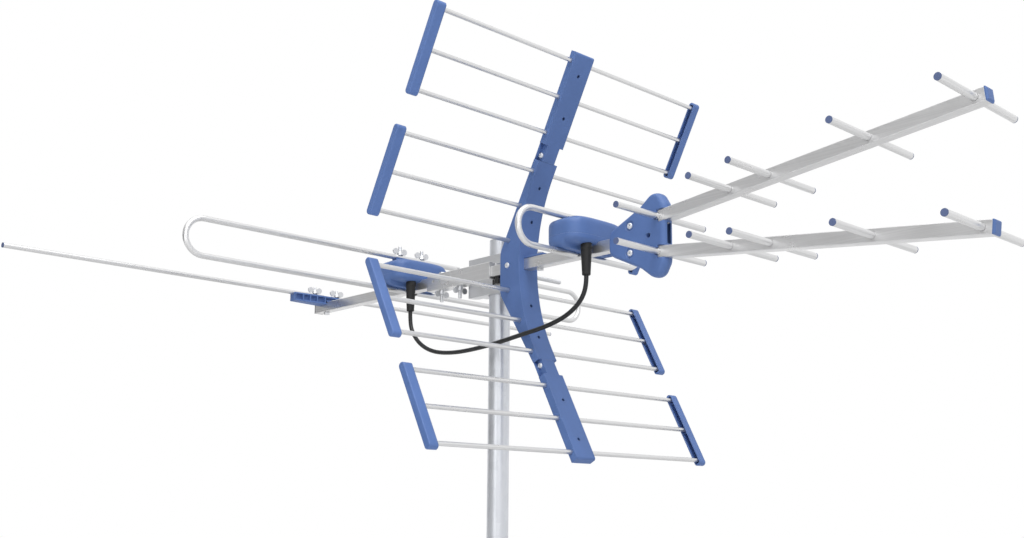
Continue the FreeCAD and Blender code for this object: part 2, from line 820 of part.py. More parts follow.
rod_holes = new_sketch(hub, "XZ_Plane")
draw_circles(rod_holes, ROD_HOLE, [spine_line("0", s, sign) for s in ROD_PLACES[:3] for sign in (1, -1)])
pocket(hub, rod_holes, midplane=True)
face_holes = new_sketch(hub, "YZ_Plane")
hole_heights = ["hub_hole_far", "hub_hole_near", "-hub_hole_near", "-hub_hole_far"]
draw_circles(face_holes, "face_hole_diameter / 2", [("0", height) for height in hole_heights])
pocket(hub, face_holes, midplane=True)
bolt_hole = new_sketch(hub, "XY_Plane")
draw_circles(bolt_hole, BOLT_HOLE, [("hub_bolt_x", "0")])
pocket(hub, bolt_hole, "boom_width", reverse=True)


def reflector_arm(label, sign):
    """One outer arm: a channel with three rod holes and a narrow tongue that enters the hub."""
    arm = new_body(label, x="reflector_vertex", y=BOOM_Y)
    tilt(arm, f"{sign} * reflector_lean")

    def along(reach):
        return f"{sign} * ({reach})"

    main = new_sketch(arm, "XZ_Plane")
    draw_rectangle(main, ("-spine_rear", "spine_front"), (along("arm_start"), along("arm_end")))
    block = pad(arm, main, "spine_width", midplane=True)
    corners = edge_names(
        block,
        lambda edge: runs_along(edge, Y_AXIS) and edge.CenterOfMass.x > 0
        and abs(edge.CenterOfMass.z) > abs(block.Shape.BoundBox.Center.z),
    )
    fillet(arm, block, corners, "spine_front / 2")
    trough = new_sketch(arm, "XZ_Plane")
    trough_ends = (along("arm_start + spine_wall"), along("arm_end - spine_wall"))
    draw_rectangle(trough, ("-2 * spine_rear", "spine_front - spine_wall"), trough_ends)
    pocket(arm, trough, "spine_width - 2 * spine_wall", midplane=True)
    neck = new_sketch(arm, "XZ_Plane")
    neck_x = ("-spine_rear", "spine_front - spine_wall - fit")
    draw_rectangle(neck, neck_x, (along("tongue_start"), along("arm_start + spine_wall / 2")))
    pad(arm, neck, "spine_width - 2 * neck_inset", midplane=True)
    apron = new_sketch(arm, "XZ_Plane")
    draw_rectangle(
        apron, ("0", "spine_front"), (along("hub_end + fit"), along("arm_start + spine_wall / 2")),
    )
    pad(arm, apron, "spine_width - 2 * neck_inset", midplane=True)
    holes = new_sketch(arm, "XZ_Plane")
    draw_circles(holes, ROD_HOLE, [("0", along(s)) for s in ROD_PLACES[3:]])
    pocket(arm, holes, midplane=True)
    screw = new_sketch(arm, "XZ_Plane")
    draw_circles(screw, "neck_screw_diameter / 2", [("0", along("neck_screw_place"))])
    pocket(arm, screw, midplane=True)
    face = new_sketch(arm, "YZ_Plane")
    face_places = [along("arm_hole_near"), along("arm_hole_far")]
    draw_circles(face, "face_hole_diameter / 2", [("0", height) for height in face_places])
    pocket(arm, face, midplane=True)
    return arm


reflector_arm("upper_reflector_arm", 1)
reflector_arm("lower_reflector_arm", -1)

# Zinc screws: one through each neck, and one on each side of the hub at the boom
screws = []
NECK_HALF = "(spine_width / 2 - neck_inset)"
for sign in (1, -1):
    screw_x, screw_z = spine_line("0", "neck_screw_place", sign)
    tag = f"neck_{sign + 1}"
    parts = [
        cylinder(
            tag + "_shank", "Y", "neck_screw_diameter / 2", f"2 * {NECK_HALF}", screw_x,
            f"{BOOM_Y} - {NECK_HALF}", screw_z,
        ),
    ]
    head_starts = (f"{BOOM_Y} - {NECK_HALF} - neck_screw_head_height", f"{BOOM_Y} + {NECK_HALF}")
    for side, start in enumerate(head_starts):
        parts.append(
            cylinder(
                f"{tag}_head_{side}", "Y", "neck_screw_head", "neck_screw_head_height", screw_x, start,
                screw_z,
            )
        )
    screws.append(join(tag + "_screw", parts))
hub_head_starts = (f"{BOOM_Y} - {SPINE_HALF} - neck_screw_head_height", f"{BOOM_Y} + {SPINE_HALF}")
for side, start in enumerate(hub_head_starts):
    screws.append(
        cylinder(
            f"hub_screw_{side}", "Y", "neck_screw_head", "neck_screw_head_height", "hub_screw_x", start,
        )
    )
node("reflector_screws", group("reflector_screw_set", screws))

hub_shank_low = f"(-{BOOM_HALF} - hub_nut_height)"
hub_shank = cylinder(
    "hub_bolt_shank", "Z", "small_bolt_diameter / 2", f"{tongue_top} - {hub_shank_low}",
    "hub_bolt_x", BOOM_Y, hub_shank_low,
)
hub_head = hexagon(
    "hub_bolt_head", "Z", "small_head_radius", "small_head_height", "hub_bolt_x", BOOM_Y, tongue_top,
)
hub_nut = hexagon(
    "hub_bolt_nut", "Z", "small_head_radius", "hub_nut_height", "hub_bolt_x", BOOM_Y, hub_shank_low,
)
hex_bolts.append(join("hub_bolt_solid", [hub_shank, hub_head, hub_nut]))

# Reflector rods, numbered from the top down
PLATE_FLOOR = "(rod_reach + plate_width - plate_wall)"
rod_levels = [(place_on_arm, 1) for place_on_arm in reversed(ROD_PLACES)]
rod_levels += [(place_on_arm, -1) for place_on_arm in ROD_PLACES]
for number, (place_on_arm, sign) in enumerate(rod_levels, start=1):
    rod_x, rod_z = spine_line("0", place_on_arm, sign)
    half = f"({PLATE_FLOOR} - fit)"
    rod = cylinder(
        f"rod_{number}", "Y", "rod_diameter / 2", f"2 * {half}", rod_x, f"{BOOM_Y} - {half}", rod_z
    )
    node(f"reflector_rod_{number:02d}", rod)


def end_plate(label, first, sign, side):
    """A moulded channel that caps three rods, open towards the spine, with a socket for each."""
    plate = new_body(label, x="reflector_vertex", y=BOOM_Y)
    tilt(plate, f"{sign} * reflector_lean")
    low = f"({ROD_PLACES[first]} - plate_overhang)"
    high = f"({ROD_PLACES[first + 2]} + plate_overhang)"

    def along(reach):
        return f"{sign} * ({reach})"

    # The XZ plane looks along -Y, so a sketch moved by -d along its normal lies at y = d
    face = f"{-side} * rod_reach"
    outline = new_sketch(plate, "XZ_Plane", face)
    draw_rectangle(outline, ("-plate_depth / 2", "plate_depth / 2"), (along(low), along(high)))
    block = pad(plate, outline, "plate_width", reverse=side > 0)
    corners = edge_names(block, lambda edge: runs_along(edge, Y_AXIS))
    rounded = fillet(plate, block, corners, "plate_depth / 2 - plate_edge / 4")
    outer = edge_names(rounded, lambda edge: abs(edge.BoundBox.YMax - edge.BoundBox.YMin) < 0.001
                       and abs(edge.CenterOfMass.y) > abs(rounded.Shape.BoundBox.Center.y))
    fillet(plate, rounded, outer, "plate_edge")
    trough = new_sketch(plate, "XZ_Plane", face)
    half = "(plate_depth / 2 - plate_wall)"
    draw_rectangle(
        trough, (f"-{half}", half),
        (along(f"{low} + 2 * plate_wall"), along(f"{high} - 2 * plate_wall")),
    )
    pocket(plate, trough, "plate_width - plate_wall", reverse=side < 0)
    middle = [("0", along(place_on_arm)) for place_on_arm in ROD_PLACES[first:first + 3]]
    floor = f"{-side} * {PLATE_FLOOR}"
    sockets = new_sketch(plate, "XZ_Plane", floor)
    for _, centre in middle:
        reach = "plate_depth / 2"
        draw_rectangle(
            sockets, (f"-{half} - plate_wall / 2", f"{half} + plate_wall / 2"),
            (f"{centre} - {reach}", f"{centre} + {reach}"),
        )
    pad(plate, sockets, "plate_socket", reverse=side < 0)
    bores = new_sketch(plate, "XZ_Plane", floor)
    draw_circles(bores, ROD_HOLE, middle)
    pocket(plate, bores, "plate_width", reverse=side > 0)
    return plate


PANELS = [("upper_outer", 3, 1), ("upper_inner", 0, 1), ("lower_inner", 0, -1), ("lower_outer", 3, -1)]
for panel, first, sign in PANELS:
    for hand, side in (("left", -1), ("right", 1)):
        end_plate(f"{panel}_{hand}_plate", first, sign, side)


# Folded dipoles: round tube loops, split below at the feed
def folded_dipole(label, x, half_length, low, high, tools):
    """A flat tube loop standing across the boom; low is below the boom's middle line."""
    bend = f"(({high} + {low}) / 2)"
    straight = f"({half_length} - dipole_tube / 2 - {bend})"
    middle = f"(({high} - {low}) / 2)"
    layers = []
    for name, radius in (("skin", "dipole_tube / 2"), ("bore", "dipole_tube / 2 - dipole_wall")):
        tag = f"{label}_{name}"
        runs = [cylinder(tag + "_top", "Y", radius, f"2 * {straight}", x, f"{BOOM_Y} - {straight}", high)]
        starts = (f"{BOOM_Y} - {straight}", f"{BOOM_Y} + feed_gap / 2")
        for side, start in enumerate(starts):
            runs.append(
                cylinder(
                    f"{tag}_low_{side}", "Y", radius, f"{straight} - feed_gap / 2", x, start, f"-{low}",
                )
            )
            turn = doc.addObject("Part::Torus", f"{tag}_bend_{side}")
            turn.Angle3 = 180
            turn.Placement.Rotation = FreeCAD.Rotation(Y_AXIS, 90) * FreeCAD.Rotation(
                Z_AXIS, 180 * (1 - side)
            )
            bind(turn, Radius1=bend, Radius2=radius)
            place(turn, x, f"{BOOM_Y} + {2 * side - 1} * {straight}", middle)
            runs.append(turn)
        layers.append(join(tag, runs))
    return node(label, cut(label + "_loop", layers[0], [layers[1]] + tools))


VHF_X = "(-vhf_x)"
dipole_holes = [
    cylinder(
        f"dipole_hole_{side + 1}", "Z", BOLT_HOLE, "2 * dipole_tube",
        VHF_X, f"{BOOM_Y} + {side} * dipole_bolt_offset", "vhf_high - dipole_tube",
    )
    for side in (-1, 1)
]
folded_dipole("uhf_dipole", "uhf_x", "uhf_half_length", "uhf_low", "uhf_high", [])
folded_dipole("vhf_dipole", VHF_X, "vhf_half_length", "vhf_low", "vhf_high", dipole_holes)


# Dipole pods: a base that straddles the boom and a domed cover, with the matching board inside
def pod_outline(body, level, side_wall="0", end_wall="0"):
    sketch = new_sketch(body, "XY_Plane", level)
    half = f"(pod_half_width - {end_wall})"
    draw_rectangle(sketch, (f"-pod_back + {side_wall}", f"pod_front - {side_wall}"), (f"-{half}", half))
    return sketch


def round_uprights(body, feature):
    """Round a pod's four upright edges, widely at the front and less at the back."""
    middle = feature.Shape.BoundBox.Center.x
    for ahead, radius in ((True, "pod_front_corner"), (False, "pod_back_corner")):
        uprights = edge_names(
            feature,
            lambda edge: runs_along(edge, Z_AXIS) and (edge.CenterOfMass.x > middle) == ahead
            and edge.Length > 0.99 * feature.Shape.BoundBox.ZLength,
        )
        if ahead:
            front_only = uprights
            feature = fillet(body, feature, front_only, radius)
        else:
            sides = sorted(uprights, key=lambda name: feature.Shape.getElement(name).CenterOfMass.x)
            feature = fillet(body, feature, sides[:2], radius)
    return feature


def dipole_pod(prefix, x, low, high, rise, crown, sunk):
    """The two halves of one pod and its board; a sunk dipole lies deep in the cover's top."""
    base = new_body(f"{prefix}_pod_base", x=x, y=BOOM_Y, z=rise)
    block = pad(base, pod_outline(base, "-pod_foot"), "pod_foot + pod_split")
    round_uprights(base, block)
    step = new_sketch(base, "XZ_Plane")
    draw_rectangle(step, ("pod_step", "2 * pod_front"), ("-2 * pod_foot", "pod_step_height"))
    pocket(base, step, midplane=True)
    channel = new_sketch(base, "YZ_Plane")
    channel_half = f"({BOOM_HALF} + fit)"
    draw_rectangle(channel, (f"-{channel_half}", channel_half), ("-2 * pod_foot", channel_half))
    pocket(base, channel, midplane=True)
    feeds = new_sketch(base, "XZ_Plane")
    draw_circles(feeds, "dipole_tube / 2 + fit", [("0", f"-{low} - {rise}")])
    pocket(base, feeds, midplane=True)
    tray = pod_outline(base, "pod_split", "pod_side_wall", "pod_end_wall")
    pocket(base, tray, f"pod_split - {channel_half} - pod_wall")
    outlet = new_sketch(base, "XY_Plane")
    draw_circles(outlet, "cable_diameter / 2", [("boot_x", "-boot_y")])
    pocket(base, outlet, midplane=True)

    cover = new_body(f"{prefix}_pod_cover", x=x, y=BOOM_Y, z=rise)
    block = pad(cover, pod_outline(cover, "pod_split"), f"{crown} - pod_split")
    rounded = round_uprights(cover, block)
    dome = fillet(cover, rounded, top_edges(rounded), "pod_dome")
    lowest = dome.Shape.BoundBox.ZMin
    mouth = [
        f"Face{i}" for i, face in enumerate(dome.Shape.Faces, start=1)
        if face.BoundBox.ZMax < lowest + 0.001
    ]
    shell = cover.newObject("PartDesign::Thickness", f"{prefix}_pod_shell")
    shell.Base = (dome, mouth)
    shell.Reversed = True
    bind(shell, Value="pod_wall")
    doc.recompute()
    groove_half = "(dipole_tube / 2 + fit)"
    groove_floor = f"({high} - {rise} - {groove_half})"
    if sunk:
        # A trough under the groove keeps the cover closed
        trough = new_sketch(cover, "YZ_Plane")
        long_half = "(pod_half_width - 0.45 * pod_dome)"
        short_half = "(pod_half_width - 0.75 * pod_dome)"
        upper = [
            (long_half, f"{groove_floor} - pod_wall"),
            (long_half, f"{groove_floor} + pod_wall / 4"),
            (short_half, f"{crown} - pod_wall / 2"),
        ]
        draw_outline(trough, upper + [(f"-{y}", z) for y, z in reversed(upper)])
        pad(cover, trough, f"2 * ({groove_half} + pod_wall)", midplane=True)
    groove = new_sketch(cover, "XZ_Plane")
    draw_rectangle(
        groove, (f"-{groove_half}", groove_half), (groove_floor, f"{high} - {rise} + dipole_tube"),
    )
    pocket(cover, groove, midplane=True)

    floor = f"({rise} + {channel_half} + pod_wall)"
    middle = f"({x} + (pod_front - pod_back) / 2)"
    board = box(
        f"{prefix}_board",
        (f"{middle} - board_width / 2", f"{middle} + board_width / 2"),
        (f"{BOOM_Y} - board_length / 2", f"{BOOM_Y} + board_length / 2"),
        (floor, f"{floor} + board_thickness"),
    )
    node(f"{prefix}_balun_board", board)
    return cover


dipole_pod("uhf", "uhf_x", "uhf_low", "uhf_high", "0", "pod_crown", True)
vhf_cover = dipole_pod("vhf", VHF_X, "vhf_low", "vhf_high", "rear_boom_rise", "vhf_pod_crown", False)
cover_holes = new_sketch(vhf_cover, "XY_Plane")
draw_circles(cover_holes, BOLT_HOLE, [("0", "dipole_bolt_offset"), ("0", "-dipole_bolt_offset")])
pocket(vhf_cover, cover_holes, midplane=True)

for side in (-1, 1):
    tag = f"dipole_{side + 1}"
    bolt_y = f"{BOOM_Y} + {side} * dipole_bolt_offset"
    seat = "(rear_boom_rise + vhf_pod_crown - pod_wall)"
    shank = cylinder(
        tag + "_shank", "Z", "small_bolt_diameter / 2", f"vhf_high + dipole_bolt_length - {seat}",
        VHF_X, bolt_y, seat,
    )
    head = hexagon(
        tag + "_head", "Z", "small_head_radius", "small_head_height", VHF_X, bolt_y,
        f"{seat} - small_head_height",
    )
    hex_bolts.append(join(tag + "_bolt", [shank, head]))
    wing_nuts.append(
        wing_nut(
            tag + "_nut", VHF_X, bolt_y, "(vhf_high + dipole_tube / 2)", 1, "small_bolt_diameter / 2",
        )
    )


# Cable boots: tapered rubber sleeves below the pods, bored for the cable
def cable_boot(label, x, rise):
    height = f"({rise} + pod_step_height + boot_foot)"
    place_x = f"{x} + boot_x"
    place_y = f"{BOOM_Y} - boot_y"
    taper = cone(
        label + "_taper", "boot_foot_diameter / 2", "boot_top_diameter / 2", height, place_x, place_y,
        "-boot_foot",
    )
    return node(label, taper)


cable_boot("uhf_boot", "uhf_x", "0")
cable_boot("vhf_boot", VHF_X, "rear_boom_rise")

# Jumper cable: it hangs from one boot to the other, between two rods of the lower panel
CABLE_ROUTE = [
    (212.0, -43.9, -36.7),
    (212.0, -43.9, -52.0),
    (202.0, -44.6, -70.0),
    (180.0, -46.2, -85.0),
    (146.0, -48.6, -95.0),
    (98.0, -50.3, -101.0),
    (50.0, -49.6, -106.5),
    (0.0, -48.6, -110.0),
    (-48.0, -47.4, -110.0),
    (-92.0, -46.2, -103.5),
    (-124.0, -45.2, -88.0),
    (-143.0, -44.4, -67.0),
    (-148.0, -43.9, -50.0),
    (-148.0, -43.9, -36.7),
]
BEND_SHARE = 0.45


def cable_path(points):
    """Straight runs joined by tangent arcs, each as large as its two runs allow."""
    corners = [FreeCAD.Vector(*point) for point in points]
    edges = []
    start = corners[0]
    for before, corner, after in zip(corners, corners[1:], corners[2:]):
        inward = (before - corner).normalize()
        outward = (after - corner).normalize()
        shorter = min((before - corner).Length, (after - corner).Length)
        reach = BEND_SHARE * shorter
        begin = corner + inward * reach
        end = corner + outward * reach
        half_turn = (FreeCAD.Vector(0, 0, 0) - inward).getAngle(outward) / 2
        radius = reach / math.tan(half_turn)
        centre = corner + (inward + outward).normalize() * (radius / math.cos(half_turn))
        middle = centre + (corner - centre).normalize() * radius
        edges.append(Part.LineSegment(start, begin).toShape())
        edges.append(Part.Arc(begin, middle, end).toShape())
        print(f"cable bend radius {radius:.1f}")
        start = end
    edges.append(Part.LineSegment(start, corners[-1]).toShape())
    return Part.Wire(edges)


cable_spine = cable_path(CABLE_ROUTE)
cable_radius = SIZES["cable_diameter"] / 2
cable_ring = Part.Circle(FreeCAD.Vector(*CABLE_ROUTE[0]), Z_AXIS, cable_radius).toShape()
cable = doc.addObject("Part::Feature", "cable")
cable.Shape = cable_spine.makePipeShell([Part.Wire([cable_ring])], True, True)
print(
    f"cable length {cable_spine.Length:.1f},",
    f"volume over section {cable.Shape.Volume / (math.pi * cable_radius**2):.1f}",
)
node("jumper_cable", cable)


# Director bracket: two moulded halves that clamp the boom and the two director booms
FAN_COS = "cos(fan_slope)"
FAN_SIN = "sin(fan_slope)"


def fan_reach(x):
    """Distance along a director boom from the fan's apex to a place on X."""
    return f"((({x}) - fan_apex) / {FAN_COS})"


def fan_height(x, sign):
    return f"{sign} * (({x}) - fan_apex) * {FAN_RISE}"


def fan_point(x, offset, sign):
    """A point beside a director boom's middle line, in the XZ plane."""
    return (
        f"({x}) - ({offset}) * {FAN_SIN}",
        f"{sign} * ((({x}) - fan_apex) * {FAN_RISE} + ({offset}) * {FAN_COS})",
    )


BRACKET_NOSE = "(director_one + bracket_nose_run)"
BRACKET_SCREW = "(director_one - bracket_screw_run)"


def bracket_half(label, side):
    """One half of the bracket, with half of each boom channel in its inner face."""
    half = new_body(label, y=BOOM_Y)
    upper = [
        ("director_one - bracket_tail_run", "bracket_tail_height"),
        ("director_one - bracket_shoulder_run", "bracket_shoulder_height"),
        ("director_one - bracket_lobe_rear_run", "bracket_lobe_height"),
        ("director_one + bracket_lobe_front_run", "bracket_lobe_height"),
        (BRACKET_NOSE, "bracket_nose_height"),
    ]
    outline = new_sketch(half, "XZ_Plane")
    draw_outline(outline, upper + [(x, f"-({z})") for x, z in reversed(upper)])
    block = pad(half, outline, "bracket_half_thickness", reverse=side > 0)
    rounded = fillet(
        half, block, edge_names(block, lambda edge: runs_along(edge, Y_AXIS)), "bracket_corner",
    )
    outer_face = edge_names(
        rounded,
        lambda edge: abs(edge.BoundBox.YMax - edge.BoundBox.YMin) < 0.001
        and abs(edge.CenterOfMass.y) > abs(rounded.Shape.BoundBox.Center.y),
    )
    fillet(half, rounded, outer_face, "bracket_edge")
    channel_half = f"({BOOM_HALF} + fit)"
    main = new_sketch(half, "XZ_Plane")
    main_x = ("director_one - bracket_tail_run - boom_width", f"{FRONT_NOSE} + fit")
    draw_rectangle(main, main_x, (f"-{channel_half}", channel_half))
    pocket(half, main, channel_half, reverse=side < 0)
    for sign in (1, -1):
        branch = new_sketch(half, "XZ_Plane")
        start = f"{DIRECTOR_ROOT} - fit"
        end = f"{BRACKET_NOSE} + boom_width"
        low_high = (f"-{channel_half}", channel_half)
        corners = [(start, low_high[0]), (end, low_high[0]), (end, low_high[1]), (start, low_high[1])]
        draw_outline(branch, [fan_point(x, offset, sign) for x, offset in corners])
        pocket(half, branch, channel_half, reverse=side < 0)
    rod = new_sketch(half, "XZ_Plane")
    rod_radius = "director_diameter / 2 + 2 * fit"
    draw_circles(rod, rod_radius, [fan_point("director_one", "0", sign) for sign in (1, -1)])
    pocket(half, rod, midplane=True)
    screw = new_sketch(half, "XZ_Plane")
    screw_places = [fan_point(BRACKET_SCREW, "0", sign) for sign in (1, -1)]
    hole_place = ("director_one - bracket_hole_run", "0")
    draw_circles(screw, "bracket_screw_diameter / 2", screw_places + [hole_place])
    pocket(half, screw, midplane=True)
    recess = new_sketch(half, "XZ_Plane", f"{-side} * (bracket_half_thickness - bracket_recess_depth)")
    draw_circles(recess, "bracket_recess_radius", screw_places)
    pocket(half, recess, "bracket_half_thickness", reverse=side < 0)
    return half


bracket_half("bracket_near_half", -1)
bracket_half("bracket_far_half", 1)

bracket_screws = []
for sign in (1, -1):
    tag = f"bracket_{sign + 1}"
    screw_x, screw_z = fan_point(BRACKET_SCREW, "0", sign)
    near = f"({BOOM_Y} - bracket_half_thickness + bracket_recess_depth)"
    far = f"({BOOM_Y} + bracket_half_thickness - bracket_recess_depth)"
    shank = cylinder(
        tag + "_shank", "Y", "bracket_screw_diameter / 2", f"{far} - {near}", screw_x, near, screw_z,
    )
    head = cylinder(
        tag + "_head", "Y", "bracket_screw_head", "bracket_screw_head_height",
        screw_x, f"{near} - bracket_screw_head_height", screw_z,
    )
    nut = hexagon(
        tag + "_nut", "Y", "bracket_screw_head", "bracket_screw_head_height", screw_x, far, screw_z,
    )
    bracket_screws.append(join(tag + "_screw", [shank, head, nut]))
node("bracket_screws", group("bracket_screw_pair", bracket_screws))


# Director booms: square tubes that fan out from the bracket, each with five director tubes
def director_boom(label, sign):
    boom = new_body(label, x="fan_apex", y=BOOM_Y)
    tilt(boom, f"{-sign} * fan_slope")
    start = fan_reach(DIRECTOR_ROOT)
    square_section(boom, start, f"{fan_reach(DIRECTOR_TIP)} - {start}", BOOM_HALF, "boom_wall")
    crossings = new_sketch(boom, "XZ_Plane")
    draw_circles(crossings, "director_diameter / 2 + fit", [(fan_reach(x), "0") for x in DIRECTORS])
    pocket(boom, crossings, midplane=True)
    screw = new_sketch(boom, "XZ_Plane")
    draw_circles(screw, "bracket_screw_diameter / 2 + fit", [(fan_reach(BRACKET_SCREW), "0")])
    pocket(boom, screw, midplane=True)
    return boom


def boom_plug(label, sign):
    """A chamfered end cap with a stub inside the boom."""
    plug = doc.addObject("PartDesign::Body", label)
    place(plug, x="fan_apex", y=BOOM_Y)
    tilt(plug, f"{-sign} * fan_slope")
    end = fan_reach(DIRECTOR_TIP)
    flange = new_sketch(plug, "YZ_Plane", end)
    draw_rectangle(flange, (f"-{BOOM_HALF}", BOOM_HALF), (f"-{BOOM_HALF}", BOOM_HALF))
    cap = pad(plug, flange, "plug_flange")
    front = cap.Shape.BoundBox.XMax
    rim = edge_names(cap, lambda edge: edge.BoundBox.XMin > front - 0.001)
    chamfer = plug.newObject("PartDesign::Chamfer", label + "_chamfer")
    chamfer.Base = (cap, rim)
    bind(chamfer, Size="plug_flange / 2")
    doc.recompute()
    stub_length = "(director_boom_tip - director_diameter)"
    stub = new_sketch(plug, "YZ_Plane", end)
    draw_rectangle(stub, (f"-{PLUG_HALF}", PLUG_HALF), (f"-{PLUG_HALF}", PLUG_HALF))
    pad(plug, stub, stub_length, reverse=True)
    return plug


def tip_plug(name, radius, wall, x, end, z, side):
    """A small moulded plug in the open end of a round tube."""
    flange_y = end if side > 0 else f"{end} - tip_plug_flange"
    stub_y = f"{end} - tip_plug_depth" if side > 0 else end
    flange = cylinder(name + "_flange", "Y", radius, "tip_plug_flange", x, flange_y, z)
    stub = cylinder(name + "_stub", "Y", f"{radius} - {wall} - fit / 2", "tip_plug_depth", x, stub_y, z)
    return join(name, [flange, stub])


tip_plugs = []
boom_plugs = []
for hand, sign in (("upper", 1), ("lower", -1)):
    director_boom(f"{hand}_director_boom", sign)
    boom_plugs.append(boom_plug(f"{hand}_boom_plug", sign))
    tubes = []
    for index, x in enumerate(DIRECTORS):
        tag = f"{hand}_director_{index}"
        height = fan_height(x, sign)
        start = f"{BOOM_Y} - director_length / 2"
        tubes.append(
            pipe(tag, "Y", "director_diameter / 2", "director_wall", "director_length", x, start, height),
        )
        for side in (-1, 1):
            end = f"{BOOM_Y} + {side} * director_length / 2"
            tip_plugs.append(
                tip_plug(
                    f"{tag}_plug_{side + 1}", "director_diameter / 2", "director_wall", x, end, height,
                    side,
                )
            )
    node(f"{hand}_directors", group(f"{hand}_director_set", tubes))
node("director_boom_plugs", group("director_boom_plug_pair", boom_plugs))

# Tail rod: two half rods on a ribbed holder at the back end of the boom
TAIL_X = "(-tail_rod_x)"
GROOVE_FLOOR = "(tail_rod_height - tail_rod_diameter / 2)"
REAR_TOP = f"(rear_boom_rise + {BOOM_HALF})"
holder = new_body("tail_rod_holder", x=TAIL_X, y=BOOM_Y, z=REAR_TOP)
holder_top = f"(tail_rod_height - {REAR_TOP})"
plan = new_sketch(holder, "XY_Plane", "-holder_skirt")
plan_half = [
    ("holder_end_width / 2", "-holder_near_length"),
    ("holder_width / 2", "-boom_width"),
    ("holder_width / 2", "boom_width"),
    ("holder_end_width / 2", "holder_far_length"),
]
draw_outline(plan, plan_half + [(f"-{x}", y) for x, y in reversed(plan_half)])
holder_block = pad(holder, plan, f"{holder_top} + holder_skirt")
holder_uprights = edge_names(holder_block, lambda edge: runs_along(edge, Z_AXIS))
fillet(holder, holder_block, holder_uprights, "holder_rim")
saddle = new_sketch(holder, "YZ_Plane")
draw_rectangle(saddle, (f"-{BOOM_HALF} - fit", f"{BOOM_HALF} + fit"), ("-2 * holder_skirt", "0"))
pocket(holder, saddle, midplane=True)
holder_floor = f"({GROOVE_FLOOR} - {REAR_TOP})"
groove = new_sketch(holder, "XZ_Plane")
groove_half = "(tail_rod_diameter / 2 + fit)"
draw_rectangle(groove, (f"-{groove_half}", groove_half), (holder_floor, f"2 * {holder_top}"))
pocket(holder, groove, midplane=True)
# The underside is hollow beside the boom, with ribs between the hollows
cells = new_sketch(holder, "XY_Plane", "-holder_skirt")
cell_half = "(holder_end_width / 2 - holder_rib_thickness)"
cell_start = f"({BOOM_HALF} + holder_rim)"
for side, reach, cell_count in ((-1, "holder_near_length", 2), (1, "holder_far_length", 1)):
    cell_span = f"(({reach} - holder_rim - {cell_start}) / {cell_count})"
    for index in range(cell_count):
        inner = f"{side} * ({cell_start} + {cell_span} * {index})"
        outer = f"{side} * ({cell_start} + {cell_span} * {index + 1} - holder_rib_thickness)"
        draw_rectangle(cells, (f"-{cell_half}", cell_half), (inner, outer))
pocket(holder, cells, f"{holder_floor} + holder_skirt - holder_floor", reverse=True)
bolt_place = new_sketch(holder, "XY_Plane")
draw_circles(bolt_place, BOLT_HOLE, [("0", "0")])
pocket(holder, bolt_place, midplane=True)
head_room = new_sketch(holder, "XY_Plane", holder_floor)
draw_circles(head_room, "small_head_radius + fit", [("0", "0")])
pocket(holder, head_room, holder_top, reverse=True)
tail_bolts_through = new_sketch(holder, "XY_Plane")
TAIL_HOLE = "(tail_bolt_diameter / 2 + bolt_clearance)"
draw_circles(tail_bolts_through, TAIL_HOLE, [("0", "tail_bolt_far"), ("0", "-tail_bolt_near")])
pocket(holder, tail_bolts_through, midplane=True)

for hand, side in (("left", -1), ("right", 1)):
    tag = f"tail_{hand}"
    length = "(tail_rod_half_length - tail_rod_gap)"
    start = f"{BOOM_Y} + tail_rod_gap" if side > 0 else f"{BOOM_Y} - tail_rod_half_length"
    rod = pipe(
        tag + "_pipe", "Y", "tail_rod_diameter / 2", "tail_rod_wall", length, TAIL_X, start,
        "tail_rod_height",
    )
    bolt_y = f"{BOOM_Y} + tail_bolt_far" if side > 0 else f"{BOOM_Y} - tail_bolt_near"
    drill = cylinder(
        tag + "_drill", "Z", TAIL_HOLE, "2 * tail_rod_diameter", TAIL_X, bolt_y,
        f"{GROOVE_FLOOR} - tail_rod_diameter / 2",
    )
    node(f"tail_rod_{hand}", cut(tag + "_rod", rod, [drill]))
    end = f"{BOOM_Y} + {side} * tail_rod_half_length"
    tip_plugs.append(
        tip_plug(
            tag + "_plug", "tail_rod_diameter / 2", "tail_rod_wall", TAIL_X, end, "tail_rod_height",
            side,
        ),
    )
    bolt_low = f"({GROOVE_FLOOR} - holder_floor)"
    bolt_top = "(tail_rod_height + tail_bolt_length)"
    shank = cylinder(
        tag + "_shank", "Z", "tail_bolt_diameter / 2", f"{bolt_top} - {bolt_low}", TAIL_X, bolt_y,
        bolt_low,
    )
    head = cylinder(
        tag + "_head", "Z", "tail_bolt_diameter", "holder_rib_thickness", TAIL_X, bolt_y,
        f"{bolt_low} - holder_rib_thickness",
    )
    hex_bolts.append(join(tag + "_bolt", [shank, head]))
    seat = "(tail_rod_height + tail_rod_diameter / 2)"
    wing_nuts.append(wing_nut(tag + "_nut", TAIL_X, bolt_y, seat, 1, "tail_bolt_diameter / 2"))

holder_low = f"(rear_boom_rise - {BOOM_HALF} - hub_nut_height)"
holder_shank = cylinder(
    "holder_shank", "Z", "small_bolt_diameter / 2", f"{GROOVE_FLOOR} - {holder_low}",
    TAIL_X, BOOM_Y, holder_low,
)
holder_head = hexagon(
    "holder_head", "Z", "small_head_radius", "small_head_height", TAIL_X, BOOM_Y, GROOVE_FLOOR,
)
holder_nut = hexagon("holder_nut", "Z", "small_head_radius", "hub_nut_height", TAIL_X, BOOM_Y, holder_low)
hex_bolts.append(join("holder_bolt_solid", [holder_shank, holder_head, holder_nut]))

# Like fasteners and plugs of every section share a node
node("hex_bolts", group("hex_bolt_set", hex_bolts))
node("wing_nuts", group("wing_nut_set", wing_nuts))
node("tip_plugs", group("tip_plug_set", tip_plugs))


